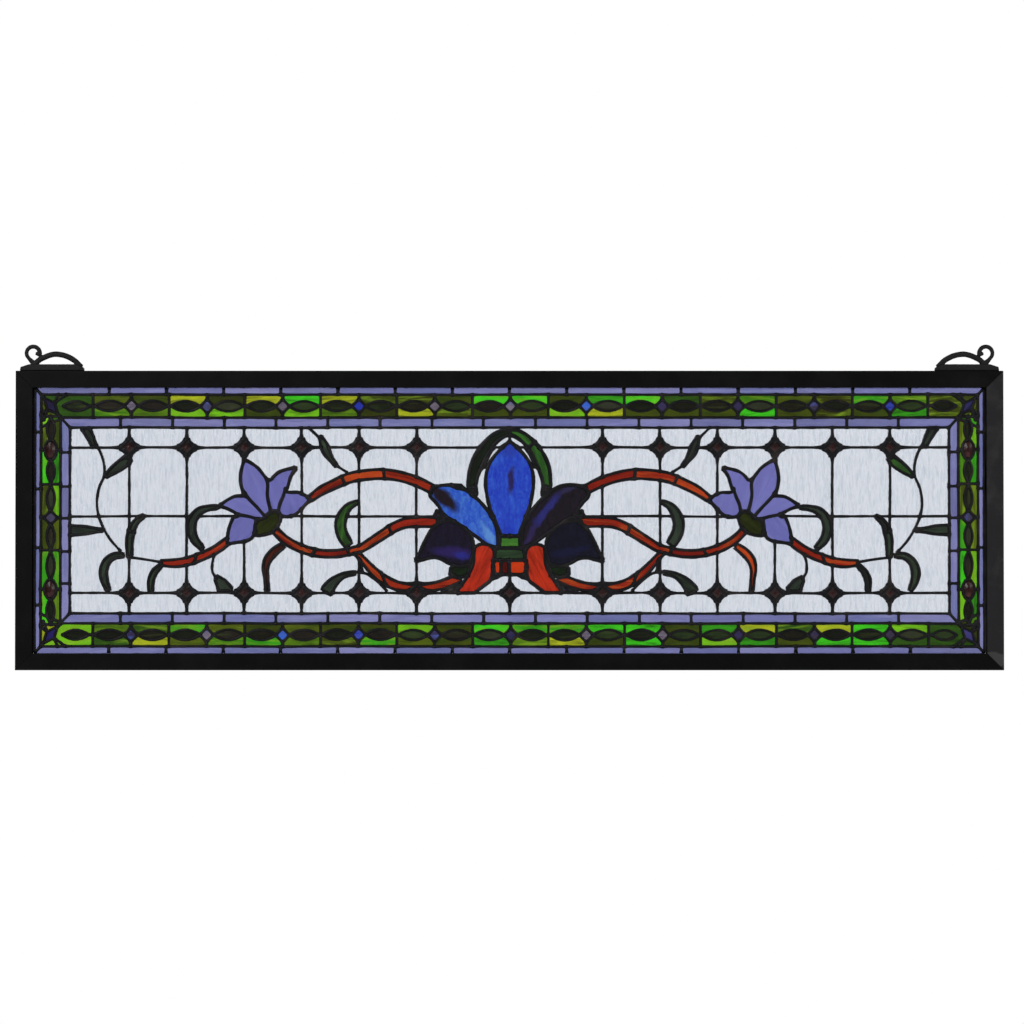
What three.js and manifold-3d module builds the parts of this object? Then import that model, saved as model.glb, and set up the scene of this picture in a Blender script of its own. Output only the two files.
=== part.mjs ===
// A wide, low stained glass transom window, hand made of glass pieces joined by solder seams, in a
// mitred metal channel frame with two scroll hangers on its top edge.
//
// Millimetres. +X runs along the window, +Z is up, and the front of the window faces -Y.
// The pattern is laid out about the middle of the frame. The origin of the part is the point halfway
// between the two hanger hooks, at the height where a chain link bears in them.

import * as THREE from 'three';
import { mergeVertices } from 'three/addons/utils/BufferGeometryUtils.js';
import Module from 'manifold-3d';

const wasm = await Module();
wasm.setup();

// ---------------------------------------------------------------- driving dimensions

const FRAME = { width: 838, height: 254, depth: 12, face: 14.3, chamfer: 1.1, mitreGap: 0.3 };
const CHANNEL = { depth: 7.6, width: 3.8 };
const GLASS_THICKNESS = 3;
const SEAM = { width: 2, lap: 0.35, rise: 0.9 };
const HOOK_BEARING_Z = 145.6;

// The glass panel is a little narrower than the frame, with a run of solder down either end.
const SEAT_STRETCH = 0.9935;
const SEAT_SEAM = [405.6, 411.5];

// Half sizes of the bands of glass, from the field out to the rim that the channel holds.
const FIELD = { x: 374.6, z: 77.8 };
const BANDS = {
  inner_rim: { x: [376.7, 382.6], z: [79.9, 86.3] },
  ribbon: { x: [384.7, 399.4], z: [88.4, 105.9] },
  outer_rim: { x: [401.4, 411.4], z: [107.9, 118.8] },
};
const BAND_MITRE = 1.5;

// The lattice in the clear field, with a jewel where its upright and level seams cross.
const LATTICE = { firstUpright: 79.5, pitch: 49.1, uprights: 6, top: 62, middle: 3.5, bottom: -61.5 };
const JEWEL_HALF_DIAGONAL = 7.2;

// How closely the facets follow a curve, how finely a curve is walked before that, and how flat
// neighbouring facets are to be made one.
const FACET_TOLERANCE = 1.8;
const HANGER_TOLERANCE = 0.4;
const COPLANAR_TOLERANCE = 0.05;
const STEPS_PER_SPAN = 5;
const THROUGH = 4;

const GLASS_FACE = GLASS_THICKNESS / 2;
const GLASS_SPACING = SEAM.width - SEAM.lap;

// ---------------------------------------------------------------- the pattern
//
// Vines and leaves are ribbons: stations [x, z, width] along the middle line. Broader shapes are runs
// of curve that meet at points. All are given for the right half of the panel and mirrored for the left.

const VINES = {
  vine_tail: [
    [[297, -36, 2.4], [286, -36.2, 4.2], [276, -34.8, 4.4], [266, -31.6, 4.4], [258, -28.4, 4.2],
      [250.6, -24.6, 4.2], [244, -20, 4.2], [240.6, -17, 3.4]],
  ],
  vine_upper: [
    [[171.5, 17.8, 2.6], [161.5, 25, 4.6], [148.5, 31.5, 5.2], [136.5, 36.3, 5.6], [120.5, 38.8, 5.8],
      [103.3, 39, 5.8], [90.3, 36.5, 5.4], [76, 31.5, 5.4], [62, 24.5, 5]],
  ],
  vine_lower: [
    [[201, -7.5, 3.4], [193, -15.6, 4], [182.5, -22, 4], [170.5, -26.2, 3.8], [158.5, -28, 3.8],
      [145.5, -27.6, 3.8], [136, -25.8, 3.6], [127, -23.4, 3.8], [118.4, -18.3, 4.4], [108.4, -12, 4.8],
      [98.3, -5.7, 5], [89.2, -2.2, 5.4], [78, -1.1, 6], [62, -1.2, 6]],
    [[132.6, -25.2, 2.4], [127, -31, 2.4], [122.6, -36, 3], [116, -43, 4.2], [107, -50, 4.8],
      [96, -55.4, 5], [84, -57, 4.4], [72, -56.8, 4.2], [60, -55, 4.8], [50, -51.6, 5], [42.8, -48.6, 4.6]],
  ],
};

const LEAVES = {
  leaf_jewel: [[[344, 38.5, 1], [336.5, 44, 4.8], [329, 49.6, 5.4], [325.6, 52.4, 4]]],
  leaf_fork: [
    [[323.6, -29, 2.4], [330.5, -29.6, 2.4], [338, -30.4, 2.6], [344, -35, 3.4], [347, -43, 4.2],
      [346.2, -51, 3.4], [343, -58.6, 1.4]],
    [[313.4, 3.2, 0.8], [319, -1.2, 2], [322.6, -8, 3], [324.4, -15, 3.4], [324.8, -23, 2.8],
      [324.6, -30, 2]],
  ],
  leaf_foot: [[[298, -38.4, 1], [303, -43.2, 2.2], [306, -50, 2.6], [306.4, -60.2, 1.6]]],
  leaf_hook: [[[249.5, 11, 1], [257, 10.4, 1.8], [265, 7.6, 3.6], [270.6, 0.4, 4.6], [271.6, -8, 4.4],
    [269, -16, 3.8], [263, -23, 2]]],
  leaf_drop: [[[194, -21.6, 2.6], [201.2, -27, 4], [206.8, -34, 3.6], [208.6, -41, 2.2],
    [208, -48, 1.2], [206.8, -60.2, 0.8]]],
  leaf_top: [[[161, 70, 0.6], [158.6, 64.4, 3.8], [156.4, 58.4, 4], [152.6, 52.2, 1.8], [148.4, 47, 0.8]]],
  leaf_loop: [[[130.5, 15.6, 0.8], [137.6, 11.8, 3], [142.2, 5.6, 5.2], [144.4, -0.8, 6.2],
    [144.4, -7, 6.2], [142.2, -13.4, 6.2], [138, -20, 5.6]]],
};
const LEAST_WIDTH = 2.4;

// The lily's five petals are one outline, run by run from tip to notch; seams part them down to the calyx.
const LILY = {
  outline: [
    [[218.6, -9], [220.4, -13.8], [226, -16.8], [233, -17.8], [240.2, -19]],
    [[240.2, -19], [239.6, -12], [238, -5], [235.4, 1.4]],
    [[235.4, 1.4], [229.5, 4.4]],
    [[229.5, 4.4], [236, 8.4], [241, 10.8], [246, 12.5]],
    [[246, 12.5], [240, 16.6], [234.5, 19.2], [228, 19.8], [225, 20.6]],
    [[225, 20.6], [228.2, 28.5], [229, 36], [228, 43.4], [226, 50.4]],
    [[226, 50.4], [220.4, 47.2], [216, 44], [211.4, 38.4], [207.3, 33]],
    [[207.3, 33], [203.6, 33.6], [200.6, 37], [196.3, 40.4], [191.4, 42.2], [184, 43.8]],
    [[184, 43.8], [187.8, 38], [190, 31], [192.6, 23.4]],
    [[192.6, 23.4], [187.5, 22.8], [181, 22.8], [175.5, 20.4], [171.4, 17.6]],
    [[171.4, 17.6], [175.6, 13.6], [179.7, 9], [184.7, 5.2], [189.7, 4], [195.5, 4.6]],
    [[195.5, 4.6], [208, -6], [218.6, -9]],
  ],
  seams: [
    [[214, 0.6], [220, 2.6], [230.5, 4.6]],
    [[210, 4.6], [216.5, 11.6], [222.6, 17.8], [225.9, 21.7]],
    [[204.3, 8.8], [206, 15], [207.2, 22], [206.8, 29], [207.3, 34.2]],
    [[197.6, 8.4], [196.2, 14.4], [193.8, 20], [192.3, 24.5]],
  ],
  calyx: [
    [[215.4, -0.4], [216.6, -6], [215.8, -12.2]],
    [[215.8, -12.2], [209.4, -11.4], [203.6, -9.4], [199.2, -4.8], [196.6, 0.6]],
    [[196.6, 0.6], [197, 5], [200.6, 7], [205, 5.4], [209.6, 1], [215.4, -0.4]],
  ],
};

const PALMETTE = {
  centre: [[0, 66.5, 0], [0, 60, 11], [0, 55, 22.4], [0, 50, 31], [0, 40, 37.4], [0, 30, 38.6],
    [0, 20, 35.8], [0, 10, 31], [0, 0, 23.2], [0, -7, 17.4], [0, -12.2, 14.4]],
  collar: [[7.4, -14.4], [8, -22.6], [11.2, -25], [12.2, -33], [13.2, -37], [13, -45]],
  arch: [[0, 74.8, 3], [9.6, 71.8, 4.6], [17.4, 65, 5.8], [23.2, 57.4, 6.8], [27, 50, 7.4],
    [29.8, 42.4, 6.8], [31.4, 35, 5.2], [31.8, 29, 4.6], [29.8, 22.4, 2.8]],
  leg: [
    [[28.8, -23.4], [29.4, -28], [29.6, -34], [31, -40.5], [33.8, -45.4], [36.6, -50.4], [40.6, -55.4],
      [44, -60.4]],
    [[44, -60.4], [30.2, -60.4]],
    [[30.2, -60.4], [22, -54.2], [17.2, -50.4], [15.7, -46], [15.2, -40], [14.6, -34], [14.2, -29],
      [14.8, -25.4]],
    [[14.8, -25.4], [18, -22.2], [22, -21.2], [26, -21.6], [28.8, -23.4]],
  ],
  bud: [[34.4, -38.6], [47, -38.6], [49.6, -41], [49.4, -45], [44, -47.4], [36.4, -46]],
};

const SIDE_PETAL = {
  upper: [
    [[64.5, 27.6], [58, 28.8], [50, 29.2], [43, 28], [36, 24], [27.5, 17], [20.5, 9], [15.4, 0.5],
      [12.2, -8], [10.8, -22]],
    [[10.8, -22], [20, -19], [27, -13.7], [33.5, -9], [41, -3.5], [49, 1.5], [55.5, 5]],
    [[55.5, 5], [58.4, 11], [62.4, 16.4], [66.6, 21.4], [64.5, 27.6]],
  ],
  lower: [
    [[58, -1.4], [48, -1.6], [40, -6.4], [34.4, -13], [32.2, -20], [32.2, -28], [34.6, -36.6]],
    [[34.6, -36.6], [44, -37.6], [51.6, -35.4], [58, -31.6], [66, -30.4], [73, -32], [78.6, -33]],
    [[78.6, -33], [75.6, -27], [72.6, -20.6], [69.4, -14], [65.4, -7.6], [58, -1.4]],
  ],
};

// Stems that are seams only, laid over the clear glass.
const STEMS = [
  [[351.5, 61.5], [348.3, 55], [346.2, 46], [346.5, 37.5], [350.2, 29], [352.5, 17], [351.3, 5],
    [346.8, -6.5], [340.8, -16.5], [332.5, -26]],
  [[326, -31.2], [312, -33], [297, -35.4]],
  [[171.4, 78], [162.5, 70.5]],
  [[148.4, 47], [139, 41]],
  [[251.8, -31], [254, -38], [253.6, -44], [252, -48], [251.6, -60.5]],
  [[110, -50], [122, -45], [132, -43.6]],
  [[263, -23], [261, -29]],
];

const HANGER = {
  depth: 4.6,
  plateDepth: 9,
  plate: [[-415.6, 127], [-415, 130.3], [-408, 132.6], [-368, 132.6], [-361.6, 129.6], [-361.6, 127]],
  arch: [[-363.6, 130.4, 4.2], [-370.6, 136.6, 4.8], [-378.6, 140.3, 4.8], [-387, 141.3, 4.8],
    [-394.6, 139, 4.8], [-400.6, 135.6, 4.8], [-403.6, 132, 5]],
  hookCentre: [-404.8, 142.2],
  hookRadius: 5.6,
  hookStroke: 3.2,
  hookRoot: [-403.4, 132.4, 5.4],
  hookTip: [-402.7, 142, 2.6],
  hookFrom: 225,
  hookTo: -8,
  hookSteps: 9,
};

const COLOURS = {
  frame: 0x17181a,
  seam: 0x2a2926,
  lavender: 0x8f8bc4,
  green: 0x4f8f2c,
  orange: 0xb4401f,
  leaf: 0x3c5a30,
  calyx: 0x2c3316,
  blue: 0x2f45c8,
  plum: 0x2b1b4a,
  clear: 0xdfe4ec,
};

// ---------------------------------------------------------------- curves and outlines

// A smooth curve through stations of any number of values, spaced by their distance apart.
function smooth(stations, steps = STEPS_PER_SPAN) {
  const count = stations.length;
  const spacing = [];
  for (let i = 0; i + 1 < count; i++) {
    spacing.push(Math.hypot(stations[i + 1][0] - stations[i][0], stations[i + 1][1] - stations[i][1]));
  }
  const slope = (i, k) => (stations[i + 1][k] - stations[i][k]) / spacing[i];
  const tangent = (i, k) => {
    if (i === 0) return slope(0, k);
    if (i === count - 1) return slope(count - 2, k);
    return (slope(i - 1, k) * spacing[i] + slope(i, k) * spacing[i - 1]) / (spacing[i - 1] + spacing[i]);
  };
  const walked = [];
  for (let i = 0; i + 1 < count; i++) {
    for (let step = 0; step < steps; step++) {
      const t = step / steps;
      walked.push(stations[i].map((value, k) => (
        value * (2 * t ** 3 - 3 * t ** 2 + 1)
        + stations[i + 1][k] * (3 * t ** 2 - 2 * t ** 3)
        + spacing[i] * (tangent(i, k) * (t ** 3 - 2 * t ** 2 + t) + tangent(i + 1, k) * (t ** 3 - t ** 2))
      )));
    }
  }
  walked.push([...stations[count - 1]]);
  return walked;
}

// Unit normals, to the left of the way along, at each point of a walked line.
function normals(line) {
  return line.map((_, i) => {
    const before = line[Math.max(i - 1, 0)];
    const after = line[Math.min(i + 1, line.length - 1)];
    const length = Math.hypot(after[0] - before[0], after[1] - before[1]);
    return [-(after[1] - before[1]) / length, (after[0] - before[0]) / length];
  });
}

// Drops the points of a line that lie within the facet tolerance of the facets left.
function fewer(line, tolerance = FACET_TOLERANCE) {
  if (line.length < 3) return line;
  const [first, last] = [line[0], line[line.length - 1]];
  const length = Math.hypot(last[0] - first[0], last[1] - first[1]) || 1;
  let farthest = 0;
  let most = 0;
  line.forEach((point, i) => {
    const away = Math.abs((last[0] - first[0]) * (point[1] - first[1])
      - (last[1] - first[1]) * (point[0] - first[0])) / length;
    if (away > most) [farthest, most] = [i, away];
  });
  if (most < tolerance) return [first, last];
  return [
    ...fewer(line.slice(0, farthest + 1), tolerance).slice(0, -1),
    ...fewer(line.slice(farthest), tolerance),
  ];
}

// The closed outline of a ribbon from its stations [x, z, width].
function ribbon(stations, tolerance = FACET_TOLERANCE) {
  const line = smooth(stations);
  const across = normals(line);
  const edge = (side) => fewer(line.map(([x, z, width], i) => (
    [x + side * across[i][0] * width / 2, z + side * across[i][1] * width / 2])), tolerance);
  const [left, right] = [edge(1), edge(-1).reverse()];
  const pointed = (end) => end[2] === 0;
  if (pointed(stations[stations.length - 1])) right.shift();
  if (pointed(stations[0])) right.pop();
  return turnedLeft([...left, ...right]);
}

// A ribbon of glass, nowhere narrower than glass is cut.
function glassRibbon(stations) {
  return ribbon(stations.map(([x, z, width]) => [x, z, Math.max(width, LEAST_WIDTH)]));
}

// A band of one width along a smooth line through points [x, z].
function strip(points, width) {
  return ribbon(points.map(([x, z]) => [x, z, width]));
}

// The closed outline whose runs of smooth curve meet end to end.
function runs(list) {
  return turnedLeft(list.flatMap((run) => fewer(smooth(run)).slice(0, -1)));
}

function area(outline) {
  return outline.reduce((sum, [x, z], i) => {
    const [nextX, nextZ] = outline[(i + 1) % outline.length];
    return sum + (x * nextZ - nextX * z) / 2;
  }, 0);
}

function turnedLeft(outline) {
  return area(outline) < 0 ? [...outline].reverse() : outline;
}

function mirrored(outline) {
  return turnedLeft(outline.map(([x, z]) => [-x, z]));
}

// An outline of the pattern where the panel's seat in the frame puts it.
function seated(outline) {
  return outline.map(([x, z]) => [x * SEAT_STRETCH, z]);
}

// Moves every edge of an outline outwards by a distance; a sharp corner is cut across.
function grown(outline, distance) {
  const count = outline.length;
  const edges = outline.map(([x, z], i) => {
    const [nextX, nextZ] = outline[(i + 1) % count];
    const length = Math.hypot(nextX - x, nextZ - z);
    return [(nextX - x) / length, (nextZ - z) / length];
  });
  return outline.flatMap(([x, z], i) => {
    const [ax, az] = edges[(i + count - 1) % count];
    const [bx, bz] = edges[i];
    const turn = ax * bz - az * bx;
    const along = ax * bx + az * bz;
    if (turn > 0 && along < 0.2) {
      const reach = distance * 0.5;
      return [
        [x + az * distance + ax * reach, z - ax * distance + az * reach],
        [x + bz * distance - bx * reach, z - bx * distance - bz * reach],
      ];
    }
    const scale = distance / Math.max(1 + along, 0.35);
    return [[x + (az + bz) * scale, z - (ax + bx) * scale]];
  });
}

// An outline from its right edge alone, and a ribbon's stations from those of its right half.
function bothSides(edge) {
  return turnedLeft([...edge, ...edge.map(([x, z]) => [-x, z]).reverse()]);
}

function acrossMiddle([middle, ...right]) {
  return [...right.map(([x, ...rest]) => [-x, ...rest]).reverse(), middle, ...right];
}

function rectangle(lowX, lowZ, highX, highZ) {
  return [[lowX, lowZ], [highX, lowZ], [highX, highZ], [lowX, highZ]];
}

function lozenge(x, z, halfDiagonal) {
  return [[x + halfDiagonal, z], [x, z + halfDiagonal], [x - halfDiagonal, z], [x, z - halfDiagonal]];
}

// ---------------------------------------------------------------- solids

function toSolid(geometry) {
  geometry.deleteAttribute('normal');
  geometry.deleteAttribute('uv');
  const merged = mergeVertices(geometry);
  return new wasm.Manifold(new wasm.Mesh({
    numProp: 3,
    vertProperties: new Float32Array(merged.attributes.position.array),
    triVerts: new Uint32Array(merged.index.array),
  }));
}

function toGeometry(positions, triangles) {
  const geometry = new THREE.BufferGeometry();
  geometry.setAttribute('position', new THREE.BufferAttribute(new Float32Array(positions), 3));
  geometry.setIndex([...triangles]);
  geometry.computeVertexNormals();
  return geometry;
}

// An outline in the plane of the window, as a solid from one depth to another.
function slab(outline, front, back) {
  const shape = new THREE.Shape(outline.map(([x, z]) => new THREE.Vector2(x, z)));
  const geometry = new THREE.ExtrudeGeometry(shape, { depth: back - front, bevelEnabled: false });
  geometry.rotateX(Math.PI / 2);
  geometry.translate(0, back, 0);
  return toSolid(geometry);
}

function joined(solids) {
  return solids.reduce((sum, solid) => sum.add(solid));
}

// Outlines of the pattern, grown and seated, as one solid through the panel or between two depths.
function slabs(outlines, growth = 0, front = -THROUGH, back = THROUGH) {
  return joined(outlines.map((outline) => (
    slab(seated(growth ? grown(outline, growth) : outline), front, back))));
}

// The separate closed pieces of a solid, each as { positions, triangles, volume }.
function islands(solid) {
  const { vertProperties: positions, triVerts } = solid.asOriginal().simplify(COPLANAR_TOLERANCE).getMesh();
  const parent = Array.from({ length: positions.length / 3 }, (_, i) => i);
  const root = (i) => {
    let top = i;
    while (parent[top] !== top) top = parent[top];
    return top;
  };
  for (let t = 0; t < triVerts.length; t += 3) {
    parent[root(triVerts[t + 1])] = root(triVerts[t]);
    parent[root(triVerts[t + 2])] = root(triVerts[t]);
  }
  const groups = new Map();
  for (let t = 0; t < triVerts.length; t += 3) {
    const key = root(triVerts[t]);
    if (!groups.has(key)) groups.set(key, []);
    groups.get(key).push(triVerts[t], triVerts[t + 1], triVerts[t + 2]);
  }
  return [...groups.values()].map((triangles) => islandOf(positions, triangles));
}

function islandOf(positions, triangles) {
  const used = [...new Set(triangles)];
  const place = new Map(used.map((vertex, i) => [vertex, i]));
  const own = used.flatMap((vertex) => [...positions.slice(vertex * 3, vertex * 3 + 3)]);
  const corner = (vertex) => new THREE.Vector3(...positions.slice(vertex * 3, vertex * 3 + 3));
  let volume = 0;
  for (let t = 0; t < triangles.length; t += 3) {
    const [a, b, c] = [corner(triangles[t]), corner(triangles[t + 1]), corner(triangles[t + 2])];
    volume += a.dot(b.cross(c)) / 6;
  }
  return { positions: own, triangles: triangles.map((vertex) => place.get(vertex)), volume };
}

function largest(solid) {
  const [main] = islands(solid).sort((a, b) => b.volume - a.volume);
  return toGeometry(main.positions, main.triangles);
}

// ---------------------------------------------------------------- the scene

const panel = new THREE.Group();
panel.position.z = -HOOK_BEARING_Z;

function addMesh(name, geometry, colour, roughness, metalness, opacity = 1) {
  const material = new THREE.MeshStandardMaterial({
    color: colour, roughness, metalness, opacity, transparent: opacity < 1,
  });
  const mesh = new THREE.Mesh(geometry, material);
  mesh.name = name;
  panel.add(mesh);
}

function addMetal(name, geometry) {
  addMesh(name, geometry, COLOURS.frame, 0.5, 0.6);
}

// ---------------------------------------------------------------- frame

// The channel's section: u runs inwards from the outer edge, v from front to back.
function channelSection() {
  const half = FRAME.depth / 2;
  const slot = CHANNEL.width / 2;
  const floor = FRAME.face - CHANNEL.depth;
  const { face, chamfer } = FRAME;
  return [
    [chamfer, -half], [face - chamfer / 2, -half], [face, -half + chamfer / 2], [face, -slot],
    [floor, -slot], [floor, slot], [face, slot], [face, half - chamfer / 2],
    [face - chamfer / 2, half], [chamfer, half], [0, half - chamfer], [0, -half + chamfer],
  ];
}

// One bar of the frame with 45 degree ends. It is made along X as the top bar and then turned.
function addFrameBar(name, length, reach, turn) {
  const shape = new THREE.Shape(channelSection().map(([u, v]) => new THREE.Vector2(u, v)));
  const geometry = new THREE.ExtrudeGeometry(shape, { depth: 1, bevelEnabled: false });
  const position = geometry.attributes.position;
  for (let i = 0; i < position.count; i++) {
    const [u, v, end] = [position.getX(i), position.getY(i), position.getZ(i) * 2 - 1];
    position.setXYZ(i, end * (length / 2 - u - FRAME.mitreGap / 2), v, reach - u);
  }
  geometry.rotateY(turn);
  addMetal(name, largest(toSolid(geometry)));
}

addFrameBar('frame_top', FRAME.width, FRAME.height / 2, 0);
addFrameBar('frame_bottom', FRAME.width, FRAME.height / 2, Math.PI);
addFrameBar('frame_right', FRAME.height, FRAME.width / 2, Math.PI / 2);
addFrameBar('frame_left', FRAME.height, FRAME.width / 2, -Math.PI / 2);

// ---------------------------------------------------------------- hangers

// The hook rises from its root, runs round most of a circle and ends in a blunt tip inside it.
function hookStations() {
  const [centreX, centreZ] = HANGER.hookCentre;
  const round = Array.from({ length: HANGER.hookSteps }, (_, i) => {
    const part = i / (HANGER.hookSteps - 1);
    const angle = THREE.MathUtils.degToRad(THREE.MathUtils.lerp(HANGER.hookFrom, HANGER.hookTo, part));
    return [
      centreX + HANGER.hookRadius * Math.cos(angle),
      centreZ + HANGER.hookRadius * Math.sin(angle),
      HANGER.hookStroke,
    ];
  });
  return [HANGER.hookRoot, ...round, HANGER.hookTip];
}

function addHanger(name, side) {
  const place = (outline) => (side > 0 ? mirrored(outline) : turnedLeft(outline));
  const half = HANGER.depth / 2;
  addMetal(name, largest(joined([
    slab(place(HANGER.plate), -HANGER.plateDepth / 2, HANGER.plateDepth / 2),
    slab(place(ribbon(HANGER.arch, HANGER_TOLERANCE)), -half, half),
    slab(place(ribbon(hookStations(), HANGER_TOLERANCE)), -half, half),
  ])));
}

addHanger('hanger_left', -1);
addHanger('hanger_right', 1);

// ---------------------------------------------------------------- glass pieces, as outlines

const SIDES = [['right', 1], ['left', -1]];
const pieces = [];

// A piece is a list of outlines that touch. Earlier pieces lie over later ones where they cross.
function addPiece(name, outlines, colour) {
  pieces.push({ name, outlines, colour });
}

function addPair(name, outlines, colours) {
  SIDES.forEach(([word, side], i) => {
    addPiece(`${name}_${word}`, side > 0 ? outlines : outlines.map(mirrored), colours[i]);
  });
}

const { leaf, orange, lavender, green, blue, plum, calyx } = COLOURS;
addPiece('palmette_petal_centre', [ribbon(PALMETTE.centre)], blue);
addPair('palmette_petal_upper', [runs(SIDE_PETAL.upper)], [plum, blue]);
addPiece('palmette_collar', [bothSides(PALMETTE.collar)], green);
addPair('palmette_leg', [runs(PALMETTE.leg)], [orange, orange]);
addPair('palmette_petal_lower', [runs(SIDE_PETAL.lower)], [plum, plum]);
addPair('palmette_bud', [turnedLeft(PALMETTE.bud)], [leaf, leaf]);
addPiece('palmette_arch', [ribbon(acrossMiddle(PALMETTE.arch))], leaf);
addPair('lily_calyx', [runs(LILY.calyx)], [calyx, calyx]);
addPair('lily_petals', [runs(LILY.outline)], [lavender, lavender]);
for (const [name, bands] of Object.entries(VINES)) {
  addPair(name, bands.map(glassRibbon), [orange, orange]);
}
for (const [name, bands] of Object.entries(LEAVES)) {
  addPair(name, bands.map(glassRibbon), [leaf, leaf]);
}

// The four mitred strips of a band of the border.
function addBand(name, band, colour) {
  const [innerX, outerX] = band.x;
  const [innerZ, outerZ] = band.z;
  const level = [
    [-innerX + BAND_MITRE, innerZ], [innerX - BAND_MITRE, innerZ],
    [outerX - BAND_MITRE, outerZ], [-outerX + BAND_MITRE, outerZ],
  ];
  const upright = [
    [innerX, -innerZ + BAND_MITRE], [outerX, -outerZ + BAND_MITRE],
    [outerX, outerZ - BAND_MITRE], [innerX, innerZ - BAND_MITRE],
  ];
  addPiece(`${name}_top`, [level], colour);
  addPiece(`${name}_bottom`, [turnedLeft(level.map(([x, z]) => [x, -z]))], colour);
  addPiece(`${name}_right`, [upright], colour);
  addPiece(`${name}_left`, [mirrored(upright)], colour);
}

for (const [name, band] of Object.entries(BANDS)) {
  addBand(name, band, name === 'ribbon' ? green : lavender);
}

// ---------------------------------------------------------------- jewels and seams, as outlines

function uprightPlaces() {
  const half = Array.from({ length: LATTICE.uprights }, (_, i) => LATTICE.firstUpright + i * LATTICE.pitch);
  return [...half, ...half.map((x) => -x)];
}

const jewelPlaces = [
  ...uprightPlaces().flatMap((x) => [[x, LATTICE.top], [x, LATTICE.bottom]]),
  [0, LATTICE.bottom],
];

function bothWays(outlines) {
  return [...outlines, ...outlines.map(mirrored)];
}

function latticeSeams() {
  const half = SEAM.width / 2;
  const level = [LATTICE.top, LATTICE.middle, LATTICE.bottom].map((z) => (
    rectangle(-FIELD.x - half, z - half, FIELD.x + half, z + half)));
  const upright = uprightPlaces().map((x) => (
    rectangle(x - half, -FIELD.z - half, x + half, FIELD.z + half)));
  const middle = rectangle(-half, -FIELD.z - half, half, FIELD.z + half);
  return [...level, ...upright, middle];
}

// ---------------------------------------------------------------- cutting the pieces

function cutBy(solid, cutters) {
  return cutters.length ? solid.subtract(joined(cutters)) : solid;
}

// Glass runs a little way under the seams. Each piece stops short of the pieces that lie over it.
function addGlassPieces() {
  const over = [];
  for (const { name, outlines, colour } of pieces) {
    const glass = cutBy(slabs(outlines, SEAM.lap, -GLASS_FACE, GLASS_FACE), over);
    addMesh(name, largest(glass), colour, 0.15, 0, 0.85);
    over.push(slabs(outlines, GLASS_SPACING));
  }
}

// What shows of each piece between the seams, as one cutter through the panel.
function showingGlass() {
  const over = [];
  return joined(pieces.map(({ outlines }) => {
    const showing = cutBy(slabs(outlines), over);
    over.push(slabs(outlines, SEAM.width));
    return showing;
  }));
}

// The seams and the jewels stand on the front of the glass. Solder fills the slivers between pieces.
function addSeams(slivers) {
  const front = -GLASS_FACE - SEAM.rise;
  const sightX = FRAME.width / 2 - FRAME.face - SEAM.lap;
  const sightZ = FRAME.height / 2 - FRAME.face - SEAM.lap;
  const round = slabs(pieces.flatMap((piece) => piece.outlines), SEAM.width, front, -GLASS_FACE);
  const stems = bothWays(STEMS.map((line) => strip(line, SEAM.width)));
  const lines = slabs([...latticeSeams(), ...stems], 0, front, -GLASS_FACE);
  const sight = slab(rectangle(-sightX, -sightZ, sightX, sightZ), -THROUGH, THROUGH);
  const [edgeFrom, edgeTo] = SEAT_SEAM;
  const edge = slabs(bothWays([rectangle(edgeFrom, -sightZ, edgeTo, sightZ)]), 0, front, -GLASS_FACE);
  const network = round.add(lines)
    .subtract(showingGlass())
    .add(edge)
    .intersect(sight)
    .add(slabs(bothWays(LILY.seams.map((line) => strip(line, SEAM.width))), 0, front, -GLASS_FACE))
    .add(slabs(jewelSeats(), 0, front, -GLASS_FACE));
  addMesh('solder_seams', largest(joined([network, ...slivers])), COLOURS.seam, 0.45, 0.7);
}

function jewelSeats() {
  return jewelPlaces.map(([x, z]) => lozenge(x, z, JEWEL_HALF_DIAGONAL));
}

// The clear glass of the field, cut round the pattern into one sheet for each space. The sheets are
// named by what they lie in, from the largest down. Returns the slivers too small for glass.
function addClearGlass() {
  const motif = pieces.filter(({ name }) => !/rim|ribbon/.test(name)).flatMap((piece) => piece.outlines);
  const sheets = slabs([rectangle(-FIELD.x, -FIELD.z, FIELD.x, FIELD.z)], 0, -GLASS_FACE, GLASS_FACE)
    .subtract(slabs(motif, GLASS_SPACING));
  const bySize = islands(sheets).sort((a, b) => b.volume - a.volume);
  const lowestX = ({ positions }) => Math.min(...positions.filter((_, i) => i % 3 === 0));
  const takePair = (name) => {
    const pair = bySize.splice(0, 2).sort((a, b) => lowestX(a) - lowestX(b));
    return [[`${name}_left`, pair[0]], [`${name}_right`, pair[1]]];
  };
  const named = [
    ['clear_field', bySize.shift()],
    ...takePair('clear_loop'), ...takePair('clear_bowl'),
    ['clear_arch', bySize.shift()],
  ];
  for (const [name, sheet] of named) {
    addMesh(name, toGeometry(sheet.positions, sheet.triangles), COLOURS.clear, 0.1, 0, 0.35);
  }
  return bySize.map((sliver) => toSolid(toGeometry(sliver.positions, sliver.triangles)));
}

addGlassPieces();
addSeams(addClearGlass());

export default panel;
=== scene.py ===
"""A stained glass transom window: coloured and clear glass, solder, jewels, channel frame and hangers.

Lengths in the tables are millimetres on the plane of the window, [x, z] from the middle of its frame,
and the front of the window faces -Y. The pattern is given for the right half and mirrored.
"""
import math
import random
from collections import defaultdict, namedtuple

import bpy
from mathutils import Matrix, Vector, noise
from mathutils.geometry import delaunay_2d_cdt


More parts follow.
